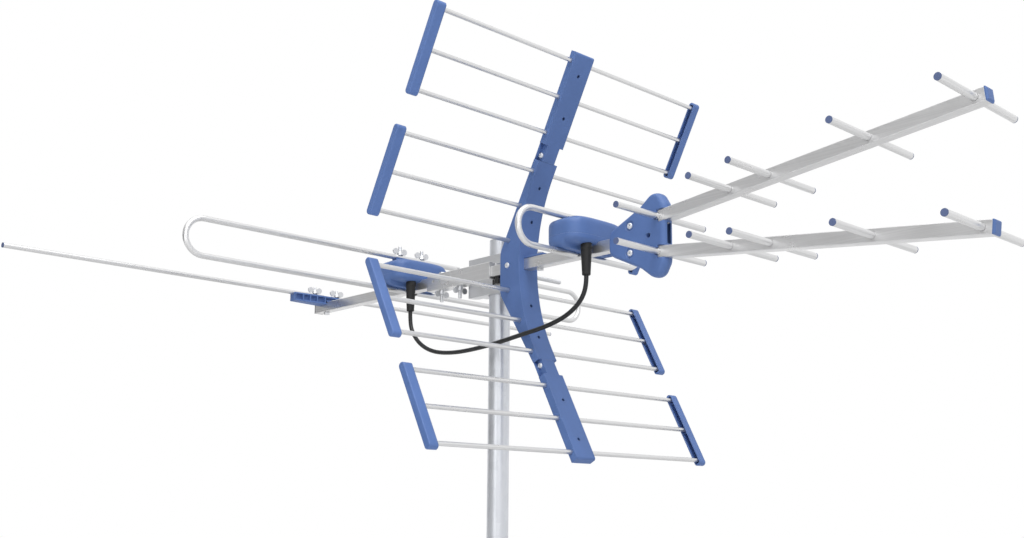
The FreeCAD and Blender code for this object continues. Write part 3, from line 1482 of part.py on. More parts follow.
def write_parts():
    """Check every object, then write one file for each sub-part."""
    doc.recompute()
    for item in doc.Objects:
        if {"Invalid", "Error"} & set(item.State):
            raise ValueError(f"{item.Name} failed: {item.State}")
    for item in pieces:
        if item.Shape.isNull() or not item.Shape.isValid():
            raise ValueError(f"{item.Label} has no valid shape")
    os.makedirs("parts", exist_ok=True)
    for item in pieces:
        item.Shape.exportStep(os.path.join("parts", item.Label + ".step"))


write_parts()
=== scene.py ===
import math

import bmesh
import bpy
import numpy as np
from mathutils import Matrix, Vector


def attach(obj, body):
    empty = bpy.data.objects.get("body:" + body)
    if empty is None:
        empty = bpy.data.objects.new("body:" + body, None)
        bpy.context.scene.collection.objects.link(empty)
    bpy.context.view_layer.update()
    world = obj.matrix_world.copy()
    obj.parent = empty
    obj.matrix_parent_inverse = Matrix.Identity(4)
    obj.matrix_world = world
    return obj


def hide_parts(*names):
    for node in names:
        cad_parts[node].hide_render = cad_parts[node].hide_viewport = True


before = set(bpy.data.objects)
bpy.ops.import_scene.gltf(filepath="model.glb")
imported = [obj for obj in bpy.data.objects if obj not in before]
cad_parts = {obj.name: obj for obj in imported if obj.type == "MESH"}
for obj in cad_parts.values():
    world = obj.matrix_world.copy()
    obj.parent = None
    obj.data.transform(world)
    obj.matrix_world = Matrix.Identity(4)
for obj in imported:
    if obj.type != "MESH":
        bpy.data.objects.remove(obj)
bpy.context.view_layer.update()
scene = bpy.context.scene
scene.view_settings.view_transform = "Standard"

# Camera: it stands low in front of the directors and looks slightly up at the aerial.
# The values are the photograph's own, in its frame of 1024 by 538 pixels.
photo_width = 1024
photo_height = 538
focal_pixels = 1180.6
centre_across = 573.4
centre_down = 341.1
camera_yaw = math.radians(45.64)
camera_pitch = math.radians(9.03)
camera_place = Vector((1.2243, -1.1025, -0.3540))

camera_data = bpy.data.cameras.new("photo_camera")
camera = bpy.data.objects.new("photo_camera", camera_data)
scene.collection.objects.link(camera)
scene.camera = camera
camera_data.sensor_fit = "HORIZONTAL"
camera_data.sensor_width = 36.0
camera_data.lens = focal_pixels / photo_width * camera_data.sensor_width
camera_data.shift_x = (photo_width / 2 - centre_across) / photo_width
camera_data.shift_y = (centre_down - photo_height / 2) / photo_width
look = Vector((
    -math.cos(camera_pitch) * math.cos(camera_yaw),
    math.cos(camera_pitch) * math.sin(camera_yaw),
    math.sin(camera_pitch),
))
right = look.cross(Vector((0, 0, 1))).normalized()
upward = right.cross(look).normalized()
turn = Matrix((right, upward, -look)).transposed()
camera.matrix_world = Matrix.Translation(camera_place) @ turn.to_4x4()

# Studio: a pale matt floor at the mast's foot, a white surround, one broad soft lamp
# overhead, two weak ones beside the camera, and a dark card on the left that the metal mirrors.
floor_height = -0.42
floor_reach = 4.0
floor_clear = 0.8
floor_white = 2.0
floor_tone = 0.88
surround_light = 0.42


def grid_mesh(name, surface, steps_u, steps_v, closed_v=False):
    """The surface sampled on a grid of its two parameters, each from 0 to 1, joined as quads."""
    u = np.linspace(0, 1, steps_u)
    v = np.linspace(0, 1, steps_v, endpoint=not closed_v)
    grid_u, grid_v = np.meshgrid(u, v, indexing="ij")
    points = np.stack(surface(grid_u, grid_v), axis=-1).reshape(-1, 3)
    rows = np.arange(steps_u - 1)
    columns = np.arange(steps_v if closed_v else steps_v - 1)
    row, column = np.meshgrid(rows, columns, indexing="ij")
    next_row = row + 1
    next_column = (column + 1) % steps_v
    corners = (
        row * steps_v + column,
        next_row * steps_v + column,
        next_row * steps_v + next_column,
        row * steps_v + next_column,
    )
    quads = np.stack(corners, axis=-1).reshape(-1, 4)
    mesh = bpy.data.meshes.new(name)
    mesh.from_pydata(points.tolist(), [], quads.tolist())
    mesh.polygons.foreach_set("use_smooth", np.ones(len(mesh.polygons), bool))
    return mesh


def add_node(tree, kind, inputs=None, **settings):
    """One shader node with its settings, its input values and the sockets that feed it."""
    node = tree.nodes.new(kind)
    for key, value in settings.items():
        setattr(node, key, value)
    for key, value in (inputs or {}).items():
        if isinstance(value, bpy.types.NodeSocket):
            tree.links.new(value, node.inputs[key])
        else:
            node.inputs[key].default_value = value
    return node


def seen_directly(tree):
    """One for light that the eye, a mirror or glass sees, and nought for all other light."""
    path = add_node(tree, "ShaderNodeLightPath")
    eye_or_mirror = add_node(
        tree, "ShaderNodeMath", {0: path.outputs["Is Camera Ray"], 1: path.outputs["Is Glossy Ray"]},
        operation="MAXIMUM",
    )
    with_glass = add_node(
        tree, "ShaderNodeMath", {0: eye_or_mirror.outputs[0], 1: path.outputs["Is Transmission Ray"]},
        operation="MAXIMUM",
    )
    return with_glass.outputs[0]


def floor_sheet(across, along):
    """A flat square sheet: x and y run from minus to plus the reach, z is the floor's height."""
    x = (2 * across - 1) * floor_reach
    y = (2 * along - 1) * floor_reach
    return x, y, np.full_like(x, floor_height)


floor = bpy.data.objects.new("floor", grid_mesh("floor", floor_sheet, steps_u=2, steps_v=2))
scene.collection.objects.link(floor)
floor_paint = bpy.data.materials.new("floor_paint")
floor_paint.use_nodes = True
tree = floor_paint.node_tree
floor_shader = tree.nodes["Principled BSDF"]
floor_shader.inputs["Base Color"].default_value = (floor_tone, floor_tone, floor_tone, 1)
floor_shader.inputs["Roughness"].default_value = 0.9
# Far from the mast the floor fades into the white surround
place_on_floor = add_node(tree, "ShaderNodeTexCoord")
distance = add_node(
    tree, "ShaderNodeVectorMath", {0: place_on_floor.outputs["Object"]}, operation="LENGTH"
)
far_off = add_node(
    tree, "ShaderNodeMapRange",
    {"Value": distance.outputs["Value"], "From Min": floor_clear, "From Max": floor_white},
    interpolation_type="SMOOTHSTEP",
)
fade = add_node(
    tree, "ShaderNodeMath", {0: far_off.outputs["Result"], 1: seen_directly(tree)}, operation="MULTIPLY"
)
glow = add_node(tree, "ShaderNodeEmission", {"Color": (1, 1, 1, 1), "Strength": 1.0})
floor_mix = add_node(
    tree, "ShaderNodeMixShader", {0: fade.outputs[0], 1: floor_shader.outputs[0], 2: glow.outputs[0]}
)
tree.links.new(floor_mix.outputs[0], tree.nodes["Material Output"].inputs["Surface"])
floor.data.materials.append(floor_paint)

card_radius = 3.0
card_first = math.radians(-170)
card_last = math.radians(-78)
card_low = -0.35
card_high = 2.0
card_dark_below = 0.05
card_pale_above = 0.5
card_dark = 0.12
card_pale = 0.80


def card_sheet(across, along):
    """A bent upright sheet, part of a round wall about the mast, left of and behind the camera."""
    angle = card_first + (card_last - card_first) * across
    height = card_low + (card_high - card_low) * along
    return card_radius * np.cos(angle), card_radius * np.sin(angle), height


card = bpy.data.objects.new("dark_card", grid_mesh("dark_card", card_sheet, steps_u=24, steps_v=2))
scene.collection.objects.link(card)
card.visible_camera = False
card_paint = bpy.data.materials.new("card_paint")
card_paint.use_nodes = True
tree = card_paint.node_tree
tree.nodes["Principled BSDF"].inputs["Roughness"].default_value = 1.0
place_on_card = add_node(tree, "ShaderNodeTexCoord")
card_level = add_node(tree, "ShaderNodeSeparateXYZ", {0: place_on_card.outputs["Object"]})
card_rise = add_node(
    tree, "ShaderNodeMapRange",
    {
        "Value": card_level.outputs["Z"], "From Min": card_dark_below, "From Max": card_pale_above,
        "To Min": card_dark, "To Max": card_pale,
    },
)
tree.links.new(card_rise.outputs["Result"], tree.nodes["Principled BSDF"].inputs["Base Color"])
card.data.materials.append(card_paint)

world = bpy.data.worlds.new("studio")
world.use_nodes = True
scene.world = world
tree = world.node_tree
tree.nodes.clear()
surround = add_node(tree, "ShaderNodeBackground", {"Color": (1, 1, 1, 1), "Strength": surround_light})
plain_white = add_node(tree, "ShaderNodeBackground", {"Color": (1, 1, 1, 1), "Strength": 1.0})
blend = add_node(
    tree, "ShaderNodeMixShader",
    {0: seen_directly(tree), 1: surround.outputs[0], 2: plain_white.outputs[0]},
)
add_node(tree, "ShaderNodeOutputWorld", {"Surface": blend.outputs[0]})


def soft_lamp(name, place, aim, size, power):
    """A square area lamp at a place, facing a point."""
    lamp = bpy.data.lights.new(name, "AREA")
    lamp.shape = "SQUARE"
    lamp.size = size
    lamp.energy = power
    thing = bpy.data.objects.new(name, lamp)
    scene.collection.objects.link(thing)
    thing.location = place
    thing.rotation_euler = (Vector(aim) - Vector(place)).to_track_quat("-Z", "Y").to_euler()


soft_lamp("overhead_lamp", place=(1.0, -0.7, 2.15), aim=(0.1, 0, 0), size=2.2, power=50)
soft_lamp("camera_lamp", place=(2.1, -1.1, 0.7), aim=(0, 0, 0), size=1.2, power=6)
soft_lamp("low_lamp", place=(0.5, -1.9, -0.2), aim=(0.1, -0.3, -0.3), size=0.8, power=3)


# Mast: a galvanised steel tube that stands on the floor and carries the whole aerial.
# Its zinc coat has frozen into faint crystals, and it is cut off square at both ends.
def dress(material, *names):
    """Give CAD nodes one finish."""
    for name in names:
        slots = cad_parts[name].data.materials
        slots.clear()
        slots.append(material)


def new_finish(name):
    """An empty finish: its node tree and its main shader."""
    material = bpy.data.materials.new(name)
    material.use_nodes = True
    return material, material.node_tree, material.node_tree.nodes["Principled BSDF"]


def between(tree, share, first, second):
    """The colour that lies between two others, by a share from nought to one."""
    mix = add_node(tree, "ShaderNodeMix", {0: share, 6: first, 7: second}, data_type="RGBA")
    return mix.outputs[2]


def new_effect(name, inputs, outputs):
    """A node group with named inputs and outputs, and its two end nodes."""
    group = bpy.data.node_groups.new(name, "ShaderNodeTree")
    for label, kind, value in inputs:
        group.interface.new_socket(label, in_out="INPUT", socket_type=kind).default_value = value
    for label, kind in outputs:
        group.interface.new_socket(label, in_out="OUTPUT", socket_type=kind)
    return group, group.nodes.new("NodeGroupInput"), group.nodes.new("NodeGroupOutput")


def use_effect(tree, group, **values):
    """Place a node group in a material with its own values."""
    node = tree.nodes.new("ShaderNodeGroup")
    node.node_tree = group
    for label, value in values.items():
        node.inputs[label.capitalize()].default_value = value
    return node


# Zinc crystals: each cell of a cell pattern has its own tone, blurred by a coarse cloud
crystals, start, end = new_effect(
    "zinc_crystals", [("Scale", "NodeSocketFloat", 60.0)],
    [("Tone", "NodeSocketFloat"), ("Cloud", "NodeSocketFloat")],
)
coords = add_node(crystals, "ShaderNodeTexCoord")
warp = add_node(
    crystals, "ShaderNodeTexNoise",
    {"Vector": coords.outputs["Object"], "Scale": 90.0, "Detail": 2.0},
)
shift = add_node(
    crystals, "ShaderNodeVectorMath",
    {0: warp.outputs["Color"], 1: (0.012, 0.012, 0.012), 2: coords.outputs["Object"]},
    operation="MULTIPLY_ADD",
)
cells = add_node(
    crystals, "ShaderNodeTexVoronoi", {"Vector": shift.outputs[0], "Scale": start.outputs["Scale"]}
)
cell_tone = add_node(crystals, "ShaderNodeSeparateColor", {0: cells.outputs["Color"]})
cloud = add_node(
    crystals, "ShaderNodeTexNoise",
    {"Vector": coords.outputs["Object"], "Scale": 11.0, "Detail": 3.0},
)
crystals.links.new(cell_tone.outputs[0], end.inputs["Tone"])
crystals.links.new(cloud.outputs["Fac"], end.inputs["Cloud"])

mast_zinc, tree, shader = new_finish("mast_zinc")
shader.inputs["Metallic"].default_value = 0.85
pattern = use_effect(tree, crystals, scale=70.0)
tone = between(tree, pattern.outputs["Tone"], (0.66, 0.68, 0.72, 1), (0.71, 0.73, 0.77, 1))
dull = add_node(
    tree, "ShaderNodeMapRange",
    {"Value": pattern.outputs["Cloud"], "From Min": 0.3, "From Max": 0.7, "To Min": 0.36, "To Max": 0.44},
)
tree.links.new(tone, shader.inputs["Base Color"])
tree.links.new(dull.outputs["Result"], shader.inputs["Roughness"])
dress(mast_zinc, "mast_tube")

# Mast clamp: two folded and toothed steel sheets, drawn together on the mast by two long
# bolts. Everything here is pressed or turned steel with a thin bright zinc plating.
clamp_bolt_places = {"left": -0.033, "right": 0.033}
clamp_bolt_radius = 0.003
clamp_thread_start = 0.0255
clamp_thread_end = 0.0866
clamp_thread_pitch = 0.001
clamp_thread_depth = 0.00035
same_place = 1e-6
no_length = 1e-7

# Soft edges: a rounded normal at sharp corners, and a mask of where it bends
soft_edges, start, end = new_effect(
    "soft_edges", [("Radius", "NodeSocketFloat", 0.0006)],
    [("Normal", "NodeSocketVector"), ("Edge", "NodeSocketFloat")],
)
rounded = add_node(soft_edges, "ShaderNodeBevel", {"Radius": start.outputs["Radius"]}, samples=6)
flat = add_node(soft_edges, "ShaderNodeNewGeometry")
bend = add_node(
    soft_edges, "ShaderNodeVectorMath", {0: rounded.outputs[0], 1: flat.outputs["Normal"]},
    operation="DOT_PRODUCT",
)
edge = add_node(
    soft_edges, "ShaderNodeMapRange",
    {"Value": bend.outputs["Value"], "From Min": 0.99, "From Max": 0.80, "To Min": 0.0, "To Max": 1.0},
)
soft_edges.links.new(rounded.outputs[0], end.inputs["Normal"])
soft_edges.links.new(edge.outputs["Result"], end.inputs["Edge"])

zinc_plate, tree, shader = new_finish("zinc_plate")
shader.inputs["Metallic"].default_value = 0.85
pattern = use_effect(tree, crystals, scale=120.0)
corner = use_effect(tree, soft_edges, radius=0.0005)
tone = between(tree, pattern.outputs["Cloud"], (0.62, 0.63, 0.65, 1), (0.74, 0.75, 0.77, 1))
# Painted highlight: the plate's colour turns paler along its edges, where the soft-edge mask bends
bright = between(tree, corner.outputs["Edge"], tone, (0.86, 0.86, 0.87, 1))
dull = add_node(
    tree, "ShaderNodeMapRange", {"Value": pattern.outputs["Cloud"], "To Min": 0.26, "To Max": 0.38}
)
tree.links.new(bright, shader.inputs["Base Color"])
tree.links.new(dull.outputs["Result"], shader.inputs["Roughness"])
tree.links.new(corner.outputs["Normal"], shader.inputs["Normal"])
dress(zinc_plate, "clamp_saddle", "clamp_jaw", "clamp_bolts", "clamp_washers", "clamp_nuts")


def thread_on(axis, place, first, last, radius, pitch, depth):
    """A screw thread: a tube whose radius rises and falls as a wedge wave that climbs one pitch
    a turn, and shrinks to the shank at both ends. The axis is 1 for Y and 2 for Z."""
    turns = abs(last - first) / pitch

    def surface(along, around):
        wave = np.abs(2 * ((along * turns - around) % 1.0) - 1)
        fade = np.clip(np.minimum(along, 1 - along) * turns * 2, 0, 1)
        reach = radius + depth * wave * fade
        angle = 2 * np.pi * around
        run = first + (last - first) * along
        if axis == 1:
            return place[0] + reach * np.sin(angle), run, place[1] + reach * np.cos(angle)
        return place[0] + reach * np.cos(angle), place[1] + reach * np.sin(angle), run

    return surface


def close_mesh(mesh, fill):
    """Join the points that share a place, drop loose points and flat faces, fill open ends where
    asked, turn every face outwards, and keep what edges stay open sharp."""
    build = bmesh.new()
    build.from_mesh(mesh)
    bmesh.ops.remove_doubles(build, verts=build.verts, dist=same_place)
    bmesh.ops.dissolve_degenerate(build, dist=no_length, edges=build.edges)
    loose = [point for point in build.verts if not point.link_faces]
    bmesh.ops.delete(build, geom=loose, context="VERTS")
    if fill:
        open_edges = [edge for edge in build.edges if edge.is_boundary]
        bmesh.ops.holes_fill(build, edges=open_edges, sides=0)
    bmesh.ops.recalc_face_normals(build, faces=build.faces)
    for edge in build.edges:
        edge.smooth = not edge.is_boundary
    build.to_mesh(mesh)
    build.free()


def add_piece(name, mesh, material, wall=0.0):
    """A new piece on the aerial, with its finish. One with a wall is an open shell made that thick."""
    close_mesh(mesh, fill=not wall)
    mesh.materials.append(material)
    piece = bpy.data.objects.new(name, mesh)
    scene.collection.objects.link(piece)
    if wall:
        thickness = piece.modifiers.new("wall", "SOLIDIFY")
        thickness.thickness = wall
        thickness.offset = -1
    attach(piece, "antenna")
    return piece


for hand, bolt_x in clamp_bolt_places.items():
    thread = thread_on(
        1, (bolt_x, 0.0), clamp_thread_start, clamp_thread_end,
        clamp_bolt_radius, clamp_thread_pitch, clamp_thread_depth,
    )
    mesh = grid_mesh(f"clamp_thread_{hand}", thread, steps_u=360, steps_v=20, closed_v=True)
    add_piece(f"clamp_thread_{hand}", mesh, zinc_plate)

# Booms: two square aluminium tubes, drawn through a die and cut to length, which meet in a
# thicker channel beside the mast. A grey plug closes the tail, and a black wing knob is
# screwed on below. Both are moulded.

# Drawn lines: noise pulled out along the tube
drawn_lines, start, end = new_effect(
    "drawn_lines", [("Stretch", "NodeSocketVector", (1.0, 1.0, 1.0))],
    [("Line", "NodeSocketFloat"), ("Cloud", "NodeSocketFloat")],
)
coords = add_node(drawn_lines, "ShaderNodeTexCoord")
pulled = add_node(
    drawn_lines, "ShaderNodeVectorMath", {0: coords.outputs["Object"], 1: start.outputs["Stretch"]},
    operation="MULTIPLY",
)
lines = add_node(
    drawn_lines, "ShaderNodeTexNoise", {"Vector": pulled.outputs[0], "Scale": 1.0, "Detail": 4.0}
)
cloud = add_node(
    drawn_lines, "ShaderNodeTexNoise",
    {"Vector": coords.outputs["Object"], "Scale": 16.0, "Detail": 4.0, "Roughness": 0.6},
)
drawn_lines.links.new(lines.outputs["Fac"], end.inputs["Line"])
drawn_lines.links.new(cloud.outputs["Fac"], end.inputs["Cloud"])


def drawn_aluminium(name, stretch, dark, light):
    """Dull drawn aluminium with its lines along one axis."""
    material, tree, shader = new_finish(name)
    shader.inputs["Metallic"].default_value = 0.85
    pattern = use_effect(tree, drawn_lines, stretch=stretch)
    corner = use_effect(tree, soft_edges, radius=0.0005)
    streak = add_node(
        tree, "ShaderNodeMapRange",
        {"Value": pattern.outputs["Line"], "From Min": 0.3, "From Max": 0.7},
    )
    tone = between(tree, streak.outputs["Result"], (*dark, 1), (*light, 1))
    dull = add_node(
        tree, "ShaderNodeMapRange",
        {
            "Value": pattern.outputs["Cloud"], "From Min": 0.35, "From Max": 0.7,
            "To Min": 0.26, "To Max": 0.36,
        },
    )
    ridge = add_node(
        tree, "ShaderNodeBump",
        {
            "Strength": 0.25, "Distance": 0.0001, "Height": pattern.outputs["Line"],
            "Normal": corner.outputs["Normal"],
        },
    )
    tree.links.new(tone, shader.inputs["Base Color"])
    tree.links.new(dull.outputs["Result"], shader.inputs["Roughness"])
    tree.links.new(ridge.outputs[0], shader.inputs["Normal"])
    return material


boom_aluminium = drawn_aluminium(
    "boom_aluminium", stretch=(4.0, 700.0, 700.0), dark=(0.65, 0.65, 0.655), light=(0.75, 0.75, 0.755)
)
dress(boom_aluminium, "front_boom", "rear_boom", "boom_coupler")

# Moulded grain: a fine even pebble and a faint cloud of colour
mould_grain, start, end = new_effect(
    "mould_grain", [("Scale", "NodeSocketFloat", 900.0)],
    [("Pebble", "NodeSocketFloat"), ("Cloud", "NodeSocketFloat")],
)
coords = add_node(mould_grain, "ShaderNodeTexCoord")
pebble = add_node(
    mould_grain, "ShaderNodeTexNoise",
    {"Vector": coords.outputs["Object"], "Scale": start.outputs["Scale"], "Detail": 2.0},
)
cloud = add_node(
    mould_grain, "ShaderNodeTexNoise",
    {"Vector": coords.outputs["Object"], "Scale": 22.0, "Detail": 4.0, "Roughness": 0.6},
)
mould_grain.links.new(pebble.outputs["Fac"], end.inputs["Pebble"])
mould_grain.links.new(cloud.outputs["Fac"], end.inputs["Cloud"])


def moulding(name, dark, light, worn_and_highlit, corner_radius, dull_low, dull_high):
    """Moulded plastic: a clouded colour, paler in patches at the corners, partly as wear and partly as a
    painted highlight, with a fine pebbled skin.
    """
    material, tree, shader = new_finish(name)
    shader.inputs["Specular IOR Level"].default_value = 0.4
    pattern = use_effect(tree, mould_grain)
    corner = use_effect(tree, soft_edges, radius=corner_radius)
    spread = add_node(
        tree, "ShaderNodeMapRange",
        {"Value": pattern.outputs["Cloud"], "From Min": 0.35, "From Max": 0.65},
    )
    tone = between(tree, spread.outputs["Result"], (*dark, 1), (*light, 1))
    # Paler patches on the corners: partly wear, partly a painted highlight where an edge would catch the
    # light
    wear_and_highlight = add_node(
        tree, "ShaderNodeMath", {0: corner.outputs["Edge"], 1: pattern.outputs["Cloud"]},
        operation="MULTIPLY",
    )
    colour = between(tree, wear_and_highlight.outputs[0], tone, (*worn_and_highlit, 1))
    dull = add_node(
        tree, "ShaderNodeMapRange",
        {
            "Value": pattern.outputs["Cloud"], "From Min": 0.3, "From Max": 0.7,
            "To Min": dull_low, "To Max": dull_high,
        },
    )
    skin = add_node(
        tree, "ShaderNodeBump",
        {
            "Strength": 0.2, "Distance": 0.0002, "Height": pattern.outputs["Pebble"],
            "Normal": corner.outputs["Normal"],
        },
    )
    tree.links.new(colour, shader.inputs["Base Color"])
    tree.links.new(dull.outputs["Result"], shader.inputs["Roughness"])
    tree.links.new(skin.outputs[0], shader.inputs["Normal"])
    return material


grey_moulding = moulding(
    "grey_moulding", dark=(0.27, 0.27, 0.28), light=(0.33, 0.33, 0.34), worn_and_highlit=(0.45, 0.45, 0.46),
    corner_radius=0.0006, dull_low=0.45, dull_high=0.6,
)
dress(grey_moulding, "rear_boom_plug")
black_moulding = moulding(
    "black_moulding", dark=(0.014, 0.014, 0.016), light=(0.022, 0.022, 0.024), worn_and_highlit=(0.06, 0.06, 0.06),
    corner_radius=0.0012, dull_low=0.24, dull_high=0.34,
)
dress(black_moulding, "boom_wing_knob")

# Corner reflector: a hub and two arms moulded in blue nylon, open at the back, screwed
# together at the necks and held on the boom by one upright bolt.
blue_nylon = moulding(
    "blue_nylon", dark=(0.086, 0.161, 0.390), light=(0.099, 0.181, 0.432), worn_and_highlit=(0.18, 0.27, 0.54),
    corner_radius=0.0011, dull_low=0.42, dull_high=0.55,
)
dress(blue_nylon, "reflector_hub", "upper_reflector_arm", "lower_reflector_arm")

# Reflector screws: pan heads with a cross slot, turned in bright plated steel. One goes into each
# side of each neck, to hold the arm on the hub, and one into each side of the hub.
boom_middle = -0.0253
neck_x = 0.12125
neck_z = 0.14304
neck_half = 0.011
hub_half = 0.017
hub_screw_x = 0.062
reflector_screw_radius = 0.004
reflector_screw_height = 0.0026
screw_bright, tree, shader = new_finish("screw_bright")
shader.inputs["Metallic"].default_value = 0.6
pattern = use_effect(tree, crystals, scale=900.0)
tone = between(tree, pattern.outputs["Tone"], (0.66, 0.68, 0.72, 1), (0.80, 0.82, 0.86, 1))
dull = add_node(
    tree, "ShaderNodeMapRange", {"Value": pattern.outputs["Cloud"], "To Min": 0.22, "To Max": 0.36}
)
tree.links.new(tone, shader.inputs["Base Color"])
tree.links.new(dull.outputs["Result"], shader.inputs["Roughness"])


def screw_heads(places, radius, height):
    """Pan heads with a cross slot, all facing along Y. Each is a quarter of a blunt oval turned
    about its axis; the slot sinks where a point lies near either of two crossed lines."""
    slot_half = 0.17 * radius
    slot_reach = 0.62 * radius
    slot_depth = 0.55 * height
    slot_side = 0.3 * slot_half
    slot_end = 0.15 * radius
    rim_power = 0.6
    crown_power = 0.8

    def surface(along, around):
        x, y, z, side = (np.array(column)[:, None, None] for column in zip(*places))
        lift = np.pi / 2 * along
        reach = radius * np.cos(lift) ** rim_power
        angle = 2 * np.pi * around
        across = reach * np.cos(angle)
        upright = reach * np.sin(angle)
        tall = height * np.sin(lift) ** crown_power
        thin = np.minimum(np.abs(across + upright), np.abs(across - upright)) / np.sqrt(2)
        sunk = np.clip((slot_half - thin) / slot_side, 0, 1)
        sunk = sunk * np.clip((slot_reach - reach) / slot_end, 0, 1)
        tall = tall - slot_depth * sunk
        return x + side * across, y + side * tall, z + upright

    return surface


def grid_set(name, surface, steps_u, steps_v):
    """Several like surfaces in one mesh, each a grid closed in its second parameter."""
    u = np.linspace(0, 1, steps_u)
    v = np.linspace(0, 1, steps_v, endpoint=False)
    grid_u, grid_v = np.meshgrid(u, v, indexing="ij")
    points = np.stack(np.broadcast_arrays(*surface(grid_u, grid_v)), axis=-1)
    row, column = np.meshgrid(np.arange(steps_u - 1), np.arange(steps_v), indexing="ij")
    next_column = (column + 1) % steps_v
    quads = np.stack(
        (row * steps_v + column, row * steps_v + next_column,
         (row + 1) * steps_v + next_column, (row + 1) * steps_v + column),
        axis=-1,
    ).reshape(-1, 4)
    starts = np.arange(len(points))[:, None, None] * steps_u * steps_v
    mesh = bpy.data.meshes.new(name)
    mesh.from_pydata(points.reshape(-1, 3).tolist(), [], (quads + starts).reshape(-1, 4).tolist())
    mesh.polygons.foreach_set("use_smooth", np.ones(len(mesh.polygons), bool))
    return mesh


reflector_screw_places = [
    (neck_x, boom_middle + side * neck_half, level * neck_z, side) for side in (-1, 1) for level in (-1, 1)
] + [(hub_screw_x, boom_middle + side * hub_half, 0.0, side) for side in (-1, 1)]
head_shape = screw_heads(reflector_screw_places, reflector_screw_radius, reflector_screw_height)
mesh = grid_set("reflector_screw_heads", head_shape, steps_u=40, steps_v=64)
reflector_screw_heads = add_piece("reflector_screw_heads", mesh, screw_bright)
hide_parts("reflector_screws")

# Bosses: a blind cup moulded in the same nylon behind each small hole in the front of the spine,
# so that a hole looks dark and no light comes through it. The hub's holes run along the boom and
# open on the wide bend of its front. Those of the two arms stand square to the arm.
spine_tilt = math.radians(28)
spine_vertex = 0.0452
spine_front = 0.006
front_bend_radius = 0.249
hub_hole_heights = (0.058, 0.1023)
arm_hole_runs = (0.2178, 0.2767)
boss_wall = 0.0006
boss_profile = np.array([(0.0036, -0.0018), (0.0036, -0.0090), (0.0030, -0.0098), (0.0, -0.0098)])
bend_middle = spine_vertex + (spine_front + front_bend_radius) / math.cos(spine_tilt)
boss_places = [
    (bend_middle - math.sqrt(front_bend_radius ** 2 - height ** 2), height, 0.0)
    for height in hub_hole_heights
] + [
    (
        spine_vertex + run * math.sin(spine_tilt) + spine_front * math.cos(spine_tilt),
        run * math.cos(spine_tilt) - spine_front * math.sin(spine_tilt),
        spine_tilt,
    )
    for run in arm_hole_runs
]


def spine_bosses(along, around):
    """A cup of a few rings turned about each hole's axis, repeated above and below the boom."""
    mouth_x, mouth_z, tilt = np.repeat(np.array(boss_places), 2, axis=0).T[:, :, None, None]
    level = np.tile((1, -1), len(boss_places))[:, None, None]
    step = along * (len(boss_profile) - 1)
    reach = np.interp(step, np.arange(len(boss_profile)), boss_profile[:, 0])
    depth = np.interp(step, np.arange(len(boss_profile)), boss_profile[:, 1])
    angle = 2 * np.pi * around
    slide = reach * np.cos(angle)
    x = mouth_x + depth * np.cos(tilt) + slide * np.sin(tilt)
    z = level * (mouth_z - depth * np.sin(tilt) + slide * np.cos(tilt))
    return x, boom_middle + reach * np.sin(angle), z


mesh = grid_set("spine_bosses", spine_bosses, steps_u=10, steps_v=32)
add_piece("spine_bosses", mesh, blue_nylon, boss_wall)

# Neck rails: four short bars of the same nylon at the back of the spine, one on each side of each
# neck. They carry the side walls past the pocket of the neck screw, from the hub into the arm.
rail_start = 0.1520
rail_end = 0.1810
rail_offset = -0.0041
rail_half_height = 0.0009
rail_side = 0.01375
rail_half_width = 0.00315


def neck_rails(along, around):
    """A bar along the spine whose blunt section is |a|^4 + |b|^4 = 1, drawn in to a point at its ends."""
    level = np.array((1, 1, -1, -1))[:, None, None]
    side = np.array((1, -1, 1, -1))[:, None, None]
    rings = np.array((rail_start, rail_start, rail_end, rail_end))
    step = np.rint(along * (len(rings) - 1)).astype(int)
    run = rings[step]
    spread = np.array((0, 1, 1, 0))[step]
    turn = np.exp(2j * np.pi * around)
    out = rail_half_width * spread * np.sign(turn.real) * np.sqrt(np.abs(turn.real))
    offset = rail_offset + rail_half_height * spread * np.sign(turn.imag) * np.sqrt(np.abs(turn.imag))
    x = spine_vertex + run * math.sin(spine_tilt) + offset * math.cos(spine_tilt)
    z = level * (run * math.cos(spine_tilt) - offset * math.sin(spine_tilt))
    return x, boom_middle + side * (rail_side + out), z


mesh = grid_set("neck_rails", neck_rails, steps_u=4, steps_v=32)
add_piece("neck_rails", mesh, blue_nylon)

# Reflector rods and end plates: twelve straight aluminium rods pushed through the spine, six
# above the boom and six below, capped three at a time by channels moulded in the same nylon.
rod_aluminium = drawn_aluminium(
    "rod_aluminium", stretch=(900.0, 5.0, 900.0), dark=(0.68, 0.68, 0.685), light=(0.78, 0.78, 0.785)
)
rods = [f"reflector_rod_{number:02d}" for number in range(1, 13)]
dress(rod_aluminium, *rods)
plates = [
    f"{panel}_{hand}_plate"
    for panel in ("upper_outer", "upper_inner", "lower_inner", "lower_outer") for hand in ("left", "right")
]
plate_nylon = moulding(
    "plate_nylon", dark=(0.094, 0.176, 0.430), light=(0.110, 0.200, 0.480), worn_and_highlit=(0.20, 0.30, 0.60),
    corner_radius=0.0022, dull_low=0.36, dull_high=0.48,
)
dress(plate_nylon, *plates)

# Dipoles: two folded loops of bent aluminium tube, each held on top of a moulded pod that
# straddles the boom. The rear loop is fixed by two bolts with wing nuts.
dress(rod_aluminium, "uhf_dipole", "vhf_dipole")

